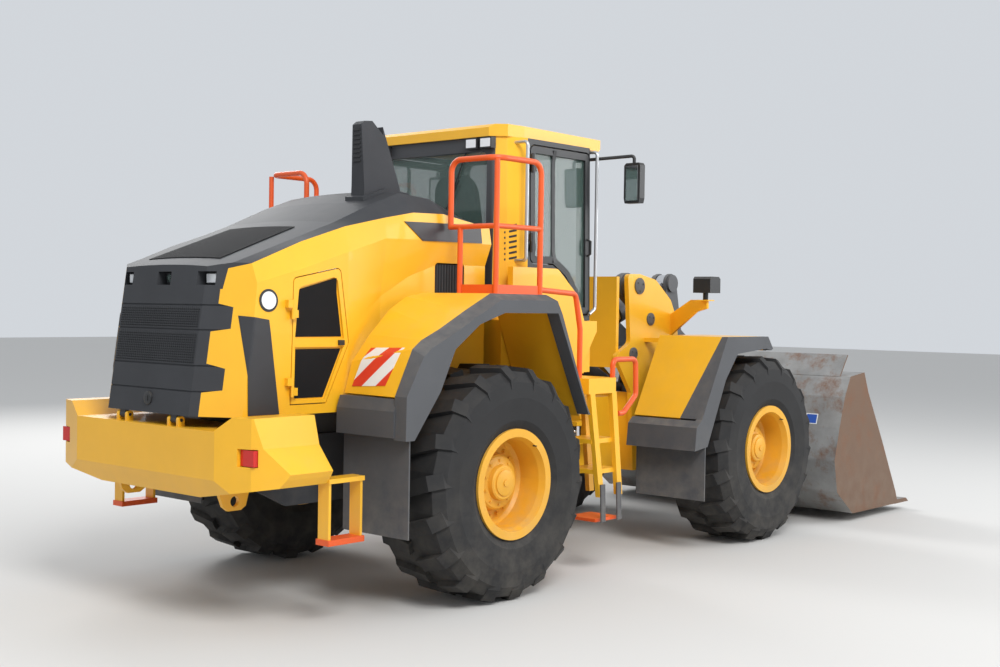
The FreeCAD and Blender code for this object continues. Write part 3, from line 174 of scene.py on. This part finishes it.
YELLOW = (0.90, 0.47, 0.018)
DARK = (0.050, 0.052, 0.057)
# Half width, in metres, of the black middle between the cab's yellow rear pillars
PILLAR_START = 0.688
MATERIALS = {
    "yellow_paint": shader("yellow paint", YELLOW, 0.36, dust=0.12, vary=0.05, coat=0.2, low_dust=0.2),
    "cab_pillars": shader("cab pillars", DARK, 0.42, dust=0.1,
                          zone=(YELLOW, "Object", "Y", PILLAR_START, PILLAR_START + 0.002)),
    "dark_paint": shader("dark paint", DARK, 0.62, low_dust=0.2, dust=0.04, shine=0.2),
    "dark_panel": shader("dark panel", (0.035, 0.036, 0.04), 0.4, dust=0.05),
    "black_mesh": shader("black mesh", (0.014, 0.014, 0.015), 0.8, bump=0.9, bump_scale=420, shine=0.1),
    "white_plate": shader("white plate", (0.82, 0.82, 0.80), 0.4, vary=0.04),
    "blue_plate": shader("blue plate", (0.02, 0.09, 0.42), 0.4, vary=0.04),
    "mirror": shader("mirror glass", (0.75, 0.77, 0.78), 0.04, metal=1.0, vary=0.02),
    "white_lens": shader("white lens", (0.80, 0.82, 0.84), 0.12, vary=0.03, coat=0.6),
    "stripes": shader("striped panel", (0.82, 0.81, 0.78), 0.4, vary=0.05,
                      bands=((0.70, 0.045, 0.02), 0.26)),
    "grey_paint": shader("linkage grey", (0.085, 0.088, 0.094), 0.5, dust=0.4, rust=0.1, low_dust=0.4),
    "bucket_steel": shader("bucket steel", (0.34, 0.34, 0.335), 0.5, metal=0.35, dust=0.2, rust=0.5, vary=0.3,
                           bump=0.3, low_dust=0.2, zone=((0.17, 0.10, 0.062), "Normal", "Y", 0.6, 0.8)),
    "rail_paint": shader("rail paint", (0.78, 0.105, 0.016), 0.4, dust=0.15, vary=0.08),
    "rim_paint": shader("rim paint", (0.80, 0.40, 0.025), 0.45, dust=0.3, vary=0.1, low_dust=0.3),
    "tyre_rubber": shader("tyre rubber", (0.016, 0.016, 0.017), 0.8, dust=0.1, vary=0.25, bump=0.25,
                          low_dust=0.16),
    "flap_rubber": shader("trim rubber", (0.075, 0.078, 0.085), 0.62, dust=0.35, vary=0.1, low_dust=0.45),
    "lamp_lens": shader("red lens", (0.62, 0.02, 0.015), 0.15, vary=0.05),
    "chrome_rod": shader("chrome rod", (0.72, 0.72, 0.73), 0.14, metal=1.0, vary=0.03),
    "pin_steel": shader("pin steel", (0.33, 0.33, 0.34), 0.42, metal=0.9, vary=0.15, rust=0.2),
    "grab_steel": shader("grab rail", (0.62, 0.63, 0.64), 0.3, metal=0.8, dust=0.1, vary=0.08),
    "cast_grey": shader("cast grey", (0.10, 0.10, 0.10), 0.7, dust=0.4, bump=0.35, low_dust=0.4),
    "black_plastic": shader("black plastic", (0.022, 0.023, 0.025), 0.45, dust=0.2, vary=0.15),
    "seat_fabric": shader("seat fabric", (0.035, 0.038, 0.042), 0.9, vary=0.2, bump=0.3, bump_scale=220),
}


def glass_material():
    """Dark tinted cab glass."""
    made = bpy.data.materials.new("cab glass")
    made.use_nodes = True
    face = made.node_tree.nodes["Principled BSDF"]
    face.inputs["Base Color"].default_value = (0.10, 0.16, 0.14, 1)
    face.inputs["Roughness"].default_value = 0.04
    face.inputs["Alpha"].default_value = 0.38
    face.inputs["Coat Weight"].default_value = 0.4
    return made


MATERIALS["glass"] = glass_material()
PIECE_ANGLE, CAD_ANGLE, BEVEL_ANGLE = radians(38), radians(32), radians(35)


def smooth(data, angle):
    """Soft shading, with sharp edges past an angle."""
    for face in data.polygons:
        face.use_smooth = True
    data.set_sharp_from_angle(angle=angle)


def dress(thing, material, body, bevel):
    """Gives a piece its material, softened edges and the body it rides on."""
    thing.data.materials.append(MATERIALS[material])
    smooth(thing.data, PIECE_ANGLE)
    if bevel:
        soft = thing.modifiers.new("edges", "BEVEL")
        soft.width = bevel * MM
        soft.segments = 2
        soft.limit_method = "ANGLE"
        soft.angle_limit = BEVEL_ANGLE
        soft.harden_normals = True
    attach(thing, body)
    return thing


# Finish of the CAD's own pieces, by material slot, with the cab's rear in two tones
for part in frame["record"]["subparts"]:
    data = nodes[part["node"]].data
    finish = "cab_pillars" if part["node"] == "cab_rear_frame" else part["material_slot"]
    data.materials.clear()
    data.materials.append(MATERIALS[finish])
    smooth(data, CAD_ANGLE)


# Detail pieces: a small kit that collects solids in the hinge's millimetres
def reach(start, way, names):
    """The first place, in the hinge's millimetres, where a ray meets one of the named CAD nodes."""
    start, way = Vector(start), Vector(way).normalized()
    best = None
    for name in names:
        turn = nodes[name].matrix_world.inverted()
        hit, place, *_ = nodes[name].ray_cast(turn @ at(*start), turn.to_3x3() @ way)
        if hit:
            local = (nodes[name].matrix_world @ place - at(0, 0, 0)) / MM
            if best is None or (local - start).length < (best - start).length:
                best = local
    if best is None:
        raise ValueError(f"nothing met from {tuple(start)} by {names}")
    return best


def turns(count, start=0.0):
    """Evenly spaced angles round a circle."""
    return [start + 2 * pi * step / count for step in range(count)]


class Piece:
    """One scene object made of closed solids."""

    def __init__(self, name):
        self.name = name
        self.mesh = bmesh.new()

    def solid(self, rings):
        """Closed skin through rings of equal length."""
        loops = [[self.mesh.verts.new(at(*point)) for point in ring] for ring in rings]
        for first, second in zip(loops, loops[1:]):
            for here in range(len(first)):
                after = (here + 1) % len(first)
                self.mesh.faces.new((first[here], first[after], second[after], second[here]))
        self.mesh.faces.new(loops[0][::-1])
        self.mesh.faces.new(loops[-1])
        return self

    def box(self, x0, x1, y0, y1, z0, z1):
        """Block between two corners."""
        return self.solid([[(x0, y0, z), (x1, y0, z), (x1, y1, z), (x0, y1, z)] for z in (z0, z1)])

    def tube(self, points, radii, sides=12):
        """Round bar through the points, with one radius or a radius at each point."""
        points = [Vector(point) for point in points]
        radii = radii if isinstance(radii, (list, tuple)) else [radii] * len(points)
        rings = []
        side = None
        for index, (point, radius) in enumerate(zip(points, radii)):
            before, after = points[max(index - 1, 0)], points[min(index + 1, len(points) - 1)]
            along = (after - before).normalized()
            if side is None:
                side = along.orthogonal().normalized()
            side = (side - along * side.dot(along)).normalized()
            other = along.cross(side)
            rings.append([point + side * radius * cos(turn) + other * radius * sin(turn)
                          for turn in turns(sides)])
        return self.solid(rings)

    def bolt(self, place, way, radius, height):
        """Washer and hexagon head standing on a surface."""
        place, way = Vector(place), Vector(way).normalized()
        self.tube([place - way * 2, place + way * 2], radius * 1.5, 14)
        return self.tube([place + way * 2, place + way * height], radius, 6)

    def sheet(self, corners, way, names, lift, thick, columns, rows):
        """Thin plate laid on the CAD's skin: four corners outside it are cast along a direction."""
        low_left, high_left, high_right, low_right = [Vector(corner) for corner in corners]
        back = -Vector(way)
        seats = []
        for row in range(rows + 1):
            left, right = low_left.lerp(high_left, row / rows), low_right.lerp(high_right, row / rows)
            seats.append([reach(left.lerp(right, column / columns), way, names)
                          for column in range(columns + 1)])
        skins = [[[self.mesh.verts.new(at(*(seat + back * height))) for seat in row] for row in seats]
                 for height in (lift, lift + thick)]
        for skin in skins:
            for row in range(rows):
                for column in range(columns):
                    self.mesh.faces.new((skin[row][column], skin[row][column + 1],
                                         skin[row + 1][column + 1], skin[row + 1][column]))
        rim = [[skin[0][c] for c in range(columns)] + [skin[r][columns] for r in range(rows)]
               + [skin[rows][c] for c in range(columns, 0, -1)] + [skin[r][0] for r in range(rows, 0, -1)]
               for skin in skins]
        for here in range(len(rim[0])):
            after = (here + 1) % len(rim[0])
            self.mesh.faces.new((rim[0][here], rim[0][after], rim[1][after], rim[1][here]))
        return self

    def done(self, material, slot, body, bevel=0.0, both=False):
        """Makes the object; with both, a mirrored copy on the other side joins it."""
        if both:
            copy = bmesh.ops.duplicate(self.mesh, geom=self.mesh.verts[:] + self.mesh.edges[:]
                                       + self.mesh.faces[:])
            for item in copy["geom"]:
                if isinstance(item, bmesh.types.BMVert):
                    item.co.y = -item.co.y
        bmesh.ops.recalc_face_normals(self.mesh, faces=self.mesh.faces)
        data = bpy.data.meshes.new(self.name)
        self.mesh.to_mesh(data)
        self.mesh.free()
        thing = bpy.data.objects.new(self.name, data)
        bpy.context.scene.collection.objects.link(thing)
        return dress(thing, material, body, bevel)


def side_corners(rows, side):
    """Corners given as (x, z), set outside the machine on one side."""
    return [(x, side * OUTSIDE, z) for x, z in rows]


def facing_corners(x, y0, y1, z0, z1):
    """Corners of an upright rectangle across the machine."""
    return [(x, y0, z0), (x, y0, z1), (x, y1, z1), (x, y1, z0)]


HOOD_SKIN = ["hood", "hood_top", "rear_grille", "service_door_left", "service_door_right"]

# Wheels: nut ring, hub cover with its bolts, and valve
NUT_CIRCLE, COVER_CIRCLE, VALVE_CIRCLE, COVER_RADIUS = 252, 155, 330, 92


def wheel_details(axle, axle_x, side_name, side):
    """Fasteners on the outer face of one rim."""
    label, body = f"{axle}_{side_name}", f"wheel_{axle}_{side_name}"
    outwards = Vector((0, side, 0))

    def on_rim(radius, angle):
        start = (axle_x + radius * cos(angle), side * OUTSIDE, WHEEL_Z + radius * sin(angle))
        return reach(start, -outwards, [f"rim_{label}"])

    nuts = Piece(f"wheel_nuts_{label}")
    for angle in turns(20):
        nuts.bolt(on_rim(NUT_CIRCLE, angle), outwards, 13, 20)
    for angle in turns(10, pi / 10):
        nuts.bolt(on_rim(COVER_CIRCLE, angle), outwards, 9, 8)
    nuts.done("rim_paint", "rim_paint", body)
    cover = Piece(f"hub_cover_{label}")
    middle = Vector((axle_x, on_rim(20, 0).y, WHEEL_Z))
    cover.tube([middle - outwards * 2, middle + outwards * 9, middle + outwards * 14],
               [COVER_RADIUS, COVER_RADIUS, COVER_RADIUS - 12], 32)
    cover.tube([middle + outwards * 13, middle + outwards * 22], 26, 8)
    cover.done("rim_paint", "rim_paint", body)
    valve = Piece(f"valve_{label}")
    root = on_rim(VALVE_CIRCLE, 0.9)
    valve.tube([root, root + outwards * 34], [6, 4], 10)
    valve.done("black_plastic", "black_plastic", body)


for axle, axle_x in (("front", WHEEL_X), ("rear", -WHEEL_X)):
    for side_name, side in SIDES:
        wheel_details(axle, axle_x, side_name, side)

# Service doors: dark mesh panels and latch
MESH_UPPER = [(-3213, 1874), (-3178, 2188), (-2872, 2268), (-2811, 1874)]
MESH_LOWER = [(-3214, 1469), (-3209, 1792), (-2816, 1792), (-2972, 1469)]
LATCH_PLATE = [(-2850, 1815), (-2852, 1850), (-2800, 1850), (-2798, 1815)]
for side_name, side in SIDES:
    door = f"service_door_{side_name}"
    mesh = Piece(f"door_mesh_{side_name}")
    for rows in (MESH_UPPER, MESH_LOWER):
        mesh.sheet(side_corners(rows, side), (0, -side, 0), [door], LIFT, 4, 4, 4)
    mesh.done("black_mesh", "black_plastic", f"service_leaf_{side_name}")
    latch = Piece(f"door_latch_{side_name}")
    latch.sheet(side_corners(LATCH_PLATE, side), (0, -side, 0), [door], LIFT, 14, 2, 2)
    latch.done("black_plastic", "black_plastic", f"service_leaf_{side_name}", 2)

# Hood: blank dark panels, black-rimmed round sign, air intake bars, deck mesh and stack slats
CORNER_PANEL = [(-3600, 1372), (-3612, 2010), (-3440, 1985), (-3352, 1372)]
FLANK_PANEL = [(-2052, 2559), (-2222, 2690), (-1408, 2706), (-1411, 2570)]
panels = Piece("hood_panels")
panels.sheet(side_corners(CORNER_PANEL, 1), (0, -1, 0), HOOD_SKIN, 3, 4, 24, 30)
panels.sheet(side_corners(FLANK_PANEL, 1), (0, -1, 0), HOOD_SKIN, 3, 4, 30, 12)
panels.done("dark_panel", "dark_paint", "hood_lid", both=True)

SIGN_X, SIGN_Z, SIGN_STEP = -3440, 2110, 60
sign_at, below_sign, beside_sign = [
    reach((SIGN_X + ahead, -OUTSIDE, SIGN_Z - down), (0, 1, 0), HOOD_SKIN)
    for ahead, down in ((0, 0), (0, SIGN_STEP), (SIGN_STEP, 0))]
facing = (beside_sign - sign_at).cross(below_sign - sign_at).normalized()
facing *= -1 if facing.y > 0 else 1
for label, radius, low, high, material, slot_name in (
        ("rim", 74, 0, 4, "black_plastic", "black_plastic"), ("face", 58, 3, 6, "white_plate", "grab_steel")):
    disc = Piece(f"round_sign_{label}")
    disc.tube([sign_at + facing * low, sign_at + facing * high], radius, 40)
    disc.done(material, slot_name, "hood_lid")

INTAKE_START, INTAKE_STEP, INTAKE_LOW, INTAKE_HIGH = -1836, 29, 2190, 2400
intake = Piece("intake_bars")
skin_y = -reach((-1900, -OUTSIDE, 2295), (0, 1, 0), ["hood"]).y
for count in range(11):
    x = INTAKE_START + INTAKE_STEP * count
    plan = [(x, skin_y - 28), (x + 5, skin_y - 28), (x + 19, skin_y - 6), (x + 14, skin_y - 6)]
    intake.solid([[(*corner, z) for corner in plan] for z in (INTAKE_LOW, INTAKE_HIGH)])
intake.done("black_plastic", "black_plastic", "hood_lid", both=True)

deck = Piece("deck_mesh")
deck.sheet([(-3560, 400, ABOVE), (-2900, 360, ABOVE), (-2900, -360, ABOVE), (-3560, -400, ABOVE)],
           DOWN, HOOD_SKIN, LIFT, 5, 12, 10)
deck.done("black_mesh", "black_plastic", "hood_lid")

slats = Piece("stack_slats")
for count in range(8):
    z = 3130 + 32 * count
    slats.sheet(facing_corners(BEHIND, -392, -320, z, z + 13), FORWARDS, ["exhaust_stack"], 0.5, 6, 1, 1)
slats.done("black_plastic", "black_plastic", "hood_lid")

# Tail: grille bars, latch, and lenses in the three wells
GRILLE_FIELDS = ((1694, 1904), (1924, 2064))
BAR_STEP, BAR_COUNT = 22, 19
bars = Piece("grille_bars")
for field in GRILLE_FIELDS:
    for count in range(-BAR_COUNT, BAR_COUNT + 1):
        ends = [reach((BEHIND, BAR_STEP * count, z), FORWARDS, ["rear_grille"]) for z in field]
        bars.tube(ends, 2.5, 4)
bars.done("black_plastic", "black_plastic", "hood_lid")
LATCH_Z = 1455
latch = Piece("grille_latch")
latch_at = reach((BEHIND, 0, LATCH_Z), FORWARDS, ["rear_grille"])
latch.tube([latch_at + Vector((ahead, 0, 0)) for ahead in (4, -12, -16)], [44, 44, 38], 28)
latch.box(latch_at.x - 22, latch_at.x - 12, -13, 13, LATCH_Z - 19, LATCH_Z + 19)
latch.done("black_plastic", "black_plastic", "hood_lid", 1.5)
WELL_Y, WELL_Z, WELL_BACK = 437, 2248, -3648
for side_name, side in SIDES:
    y = side * WELL_Y
    lens = Piece(f"tail_lamp_{side_name}")
    lens.box(WELL_BACK - 9, WELL_BACK, y - 50, y + 50, WELL_Z - 30, WELL_Z + 30)
    lens.done("white_lens", "glass", "hood_lid", 4)
eye = Piece("rear_camera")
eye.tube([(WELL_BACK - behind, 0, WELL_Z) for behind in (2, 24, 28)], [26, 26, 20], 24)
eye.done("glass", "glass", "hood_lid")

# Rear fenders: striped panel facing backwards
STRIPED_PANEL = [(860, 1540), (905, 1800), (1250, 1812), (1195, 1560)]
for side_name, side in SIDES:
    stripes = Piece(f"striped_panel_{side_name}")
    corners = [(BEHIND, side * y, z) for y, z in STRIPED_PANEL]
    stripes.sheet(corners, FORWARDS, ["rear_fenders"], LIFT, 2.5, 8, 6)
    stripes.done("stripes", "rail_paint", "rear_frame")

# Cab: pillar slashes, door divider, handles and wiper
slash = Piece("pillar_slashes")
for count in range(7):
    z = 2450 + 42 * count
    slash.sheet(side_corners([(-1135, z), (-1135, z + 16), (-1045, z + 38), (-1045, z + 22)], 1),
                (0, -1, 0), ["cab_rear_frame"], 0.5, 3, 2, 1)
slash.done("black_plastic", "black_plastic", "rear_frame", both=True)
DIVIDER = [(-640, 2450), (-640, 3345), (-600, 3345), (-600, 2450)]
HANDLE_X = -190
for side_name, side in SIDES:
    skin = [f"cab_door_{side_name}", f"door_glass_{side_name}"]
    divider = Piece(f"door_divider_{side_name}")
    divider.sheet(side_corners(DIVIDER, side), (0, -side, 0), skin, LIFT, 8, 1, 10)
    divider.done("black_plastic", "black_plastic", f"cab_leaf_{side_name}", 1.5)
    handle = Piece(f"door_handle_{side_name}")
    door_y = reach((HANDLE_X, side * OUTSIDE, 2560), (0, -side, 0), skin).y
    grip_y = door_y + side * 34
    bends = ((door_y, 2520), (grip_y, 2535), (grip_y, 2640), (door_y, 2655))
    handle.tube([(HANDLE_X, y, z) for y, z in bends], 9, 10)
    handle.done("black_plastic", "black_plastic", f"cab_leaf_{side_name}")
wiper = Piece("rear_wiper")
foot, tip = [reach((BEHIND, y, z), FORWARDS, ["cab_rear_frame", "cab_glass"])
             for y, z in ((40, 2480), (-330, 3090))]
stand_off = Vector((-22, 0, 0))
wiper.tube([foot + Vector((4, 0, 0)), foot + stand_off], 20, 16)
wiper.tube([foot + stand_off, tip + stand_off], [8, 5], 8)
wiper.tube([tip + Vector((-12, 120, -190)), tip + Vector((-12, -60, 210))], 6, 6)
wiper.done("black_plastic", "black_plastic", "rear_frame")

# Lenses of the work lamps and headlamps, and the mirrors' glass
LAMP_WIDTH, HEADLAMP_WIDTH = 100, 72
LENSES = (
    ("work_lamp_lens", "white_lens", "glass", "rear_frame", "cab_fittings", FORWARDS,
     [(BEHIND, y, y + LAMP_WIDTH, 3325, 3390) for y in (450, 600)]),
    ("mirror_glass", "mirror", "chrome_rod", "rear_frame", "cab_fittings", FORWARDS,
     [(BEHIND, 1062, 1178, 2980, 3265)]),
    ("headlamp_lens", "white_lens", "glass", "front_frame", "headlamps", BACKWARDS,
     [(AHEAD, y, y + HEADLAMP_WIDTH, 2262, 2355) for y in (952, 1036)]))
for label, material, slot_name, body, node_name, way, places in LENSES:
    lens = Piece(label)
    for place in places:
        lens.sheet(facing_corners(*place), way, [node_name], 0.5, 4, 2, 2)
    lens.done(material, slot_name, body, 1, both=True)

# Seat: crowned cushions, column and wheel in place of the CAD's plain ones
def rounded(value, power):
    """Sine or cosine flattened towards a square, with its sign."""
    return abs(value) ** power * (1 if value >= 0 else -1)


def cushion(name, length, centre, half_wide, half_deep, lean):
    """Crowned pad: a rounded-rectangle section that swells in the middle of its length."""
    steps = 14
    rings = []
    for step in range(steps + 1):
        share = step / steps
        swell = 1 - 0.42 * abs(2 * share - 1) ** 6
        crown = 1 - 0.55 * abs(2 * share - 1) ** 4
        along = (share - 0.5) * length
        ring = []
        for angle in turns(28):
            wide = rounded(cos(angle), 0.45) * half_wide * swell
            deep = rounded(sin(angle), 0.6) * half_deep * crown
            ring.append((centre[0] + along * sin(lean) + deep * cos(lean), wide + centre[1],
                         centre[2] + along * cos(lean) - deep * sin(lean)))
        rings.append(ring)
    pad = Piece(name).solid(rings).done("seat_fabric", "seat_fabric", "rear_frame")
    return pad


def seat_stand():
    """Rubber bellows between the foot and the pan."""
    stand = Piece("seat_stand")
    stand.box(-740, -440, -165, 165, 1992, 2120)
    fold = 45
    for level in range(5):
        grow = 12 * (level % 2)
        low = 2120 + fold * level
        stand.box(-720 - grow, -460 + grow, -150 - grow, 150 + grow, low, low + fold)
    stand.box(-780, -330, -215, 215, 2345, 2385)
    return stand.done("black_plastic", "black_plastic", "rear_frame", 4)


def steering_post():
    """Tapered column from the floor to the wheel."""
    post = Piece("steering_post")
    post.tube([(-255, 0, 1993), (-240, 0, 2540), (-250, 0, 2610), (-288, 0, 2706)], [62, 48, 34, 26], 20)
    return post.done("black_plastic", "black_plastic", "rear_frame")


def steering_wheel():
    """Tilted rim with three spokes."""
    middle, radius = Vector((-288, 0, 2720)), 185
    ahead, across = Vector((1, 0, 0.3)).normalized(), Vector((0, 1, 0))
    ring = Piece("steering_wheel")
    circle = turns(36) + [2 * pi]
    ring.tube([middle + (ahead * cos(angle) + across * sin(angle)) * radius for angle in circle], 14, 10)
    for angle in turns(3, 0.5):
        spoke_end = middle + (ahead * cos(angle) + across * sin(angle)) * (radius - 2)
        ring.tube([middle - Vector((0, 0, 8)), spoke_end], 10, 8)
    return ring.done("black_plastic", "black_plastic", "rear_frame")


seat_pieces = [cushion("seat_base_pad", 500, (-560, 0, 2433), 246, 54, pi / 2),
               cushion("seat_back_pad", 690, (-842, 0, 2822), 236, 52, radians(-10)),
               seat_stand(), steering_post(), steering_wheel()]
for piece in seat_pieces:
    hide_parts("operator_seat")

# Steps: rubber straps with orange treads
treads = Piece("step_treads")
treads.box(-640, -350, 1035, 1305, 425, 450)
treads.box(-3307, -2998, 1088, 1212, 558, 597)
treads.done("rail_paint", "rail_paint", "rear_frame", 2, both=True)
STRAP_WIDTH, STRAP_IN, STRAP_OUT = 55, 1334, 1346
straps = Piece("step_straps")
for low_x in (-610, -400):
    straps.solid([[(x, STRAP_IN, z), (x + STRAP_WIDTH, STRAP_IN, z), (x + STRAP_WIDTH, STRAP_OUT, z),
                   (x, STRAP_OUT, z)] for x, z in ((low_x, 425), (low_x - 14, 720))])
straps.done("flap_rubber", "flap_rubber", "rear_frame", both=True)

# Front frame: pin covers with keeper bolts, at the boom's and the cylinders' pins
PIN_PLACES = ((1057, 2301, 74), (976, 1684, 58), (1240, 1999, 58))
pin_caps = Piece("tower_pin_caps")
for x, z, radius in PIN_PLACES:
    plate_y = reach((x, OUTSIDE, z + radius), (0, -1, 0), ["front_chassis"]).y
    pin_caps.tube([(x, plate_y + out_by, z) for out_by in (-2, 12, 16)], [radius, radius, radius - 8], 32)
    for angle in turns(3, 0.4):
        reach_out = radius * 0.62
        pin_caps.bolt((x + cos(angle) * reach_out, plate_y + 15, z + sin(angle) * reach_out), (0, 1, 0), 9, 9)
pin_caps.done("cast_grey", "cast_grey", "front_frame", both=True)

# Bucket: blank white and blue sticker on the back
for label, material, lift, thick, place in (
        ("bucket_sticker", "white_plate", LIFT, 1.5, (-1250, -1000, 980, 1080)),
        ("bucket_sticker_blue", "blue_plate", LIFT + 1.5, 1, (-1240, -1130, 988, 1072))):
    sticker = Piece(label)
    sticker.sheet(facing_corners(BEHIND, *place), FORWARDS, ["bucket"], lift, thick, 2, 2)
    sticker.done(material, "grab_steel", "bucket_body")

# Stage: pale floor, backdrop, soft lights and the photograph's camera
FLOOR_SIZE = 120
bpy.ops.mesh.primitive_plane_add(size=FLOOR_SIZE, location=(0, 0, 0))
floor = bpy.context.object
floor.name = "floor"
pale = bpy.data.materials.new("floor")
pale.use_nodes = True
pale_face = pale.node_tree.nodes["Principled BSDF"]
pale_face.inputs["Base Color"].default_value = (0.62, 0.61, 0.59, 1)
pale_face.inputs["Roughness"].default_value = 0.9
floor.data.materials.append(pale)
floor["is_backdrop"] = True

world = bpy.data.worlds.new("studio")
world.use_nodes = True
sky = world.node_tree.nodes["Background"]
sky.inputs["Color"].default_value = (0.86, 0.90, 0.95, 1)
sky.inputs["Strength"].default_value = 0.75
bpy.context.scene.world = world


def lamp(name, place, size, power):
    """Soft square lamp aimed at the machine's middle, in metres of the row frame."""
    made = bpy.data.lights.new(name, "AREA")
    made.size = size
    made.energy = power
    thing = bpy.data.objects.new(name, made)
    bpy.context.scene.collection.objects.link(thing)
    thing.location = place
    thing.rotation_euler = (LAMP_AIM - Vector(place)).to_track_quat("-Z", "Y").to_euler()
    thing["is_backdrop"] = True


LAMP_AIM = Vector((0, 0, 1.5))
lamp("key", (-7, -10, 11), 5, 1500)
lamp("fill", (9, -9, 6), 7, 650)
lamp("rim light", (3, 12, 9), 6, 900)

YAW, PITCH, ROLL = radians(41.11), radians(-1.16), radians(0.89)
CAMERA_PLACE = (-8898, -7500, 2093)
FOCAL_PIXELS, FRAME_WIDTH, SENSOR = 1327, 1000, 36
view_data = bpy.data.cameras.new("photo view")
view_data.sensor_width = SENSOR
view_data.lens = FOCAL_PIXELS / FRAME_WIDTH * SENSOR
camera = bpy.data.objects.new("photo view", view_data)
bpy.context.scene.collection.objects.link(camera)
forward = Vector((cos(PITCH) * cos(YAW), cos(PITCH) * sin(YAW), sin(PITCH)))
right = Vector((sin(YAW), -cos(YAW), 0))
up = right.cross(forward)
right, up = right * cos(ROLL) + up * sin(ROLL), up * cos(ROLL) - right * sin(ROLL)
turned = Matrix((right, up, -forward)).transposed().to_4x4()
camera.matrix_world = Matrix.Translation(at(*CAMERA_PLACE)) @ turned
bpy.context.scene.camera = camera
bpy.context.scene.view_settings.view_transform = "Standard"

low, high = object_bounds()
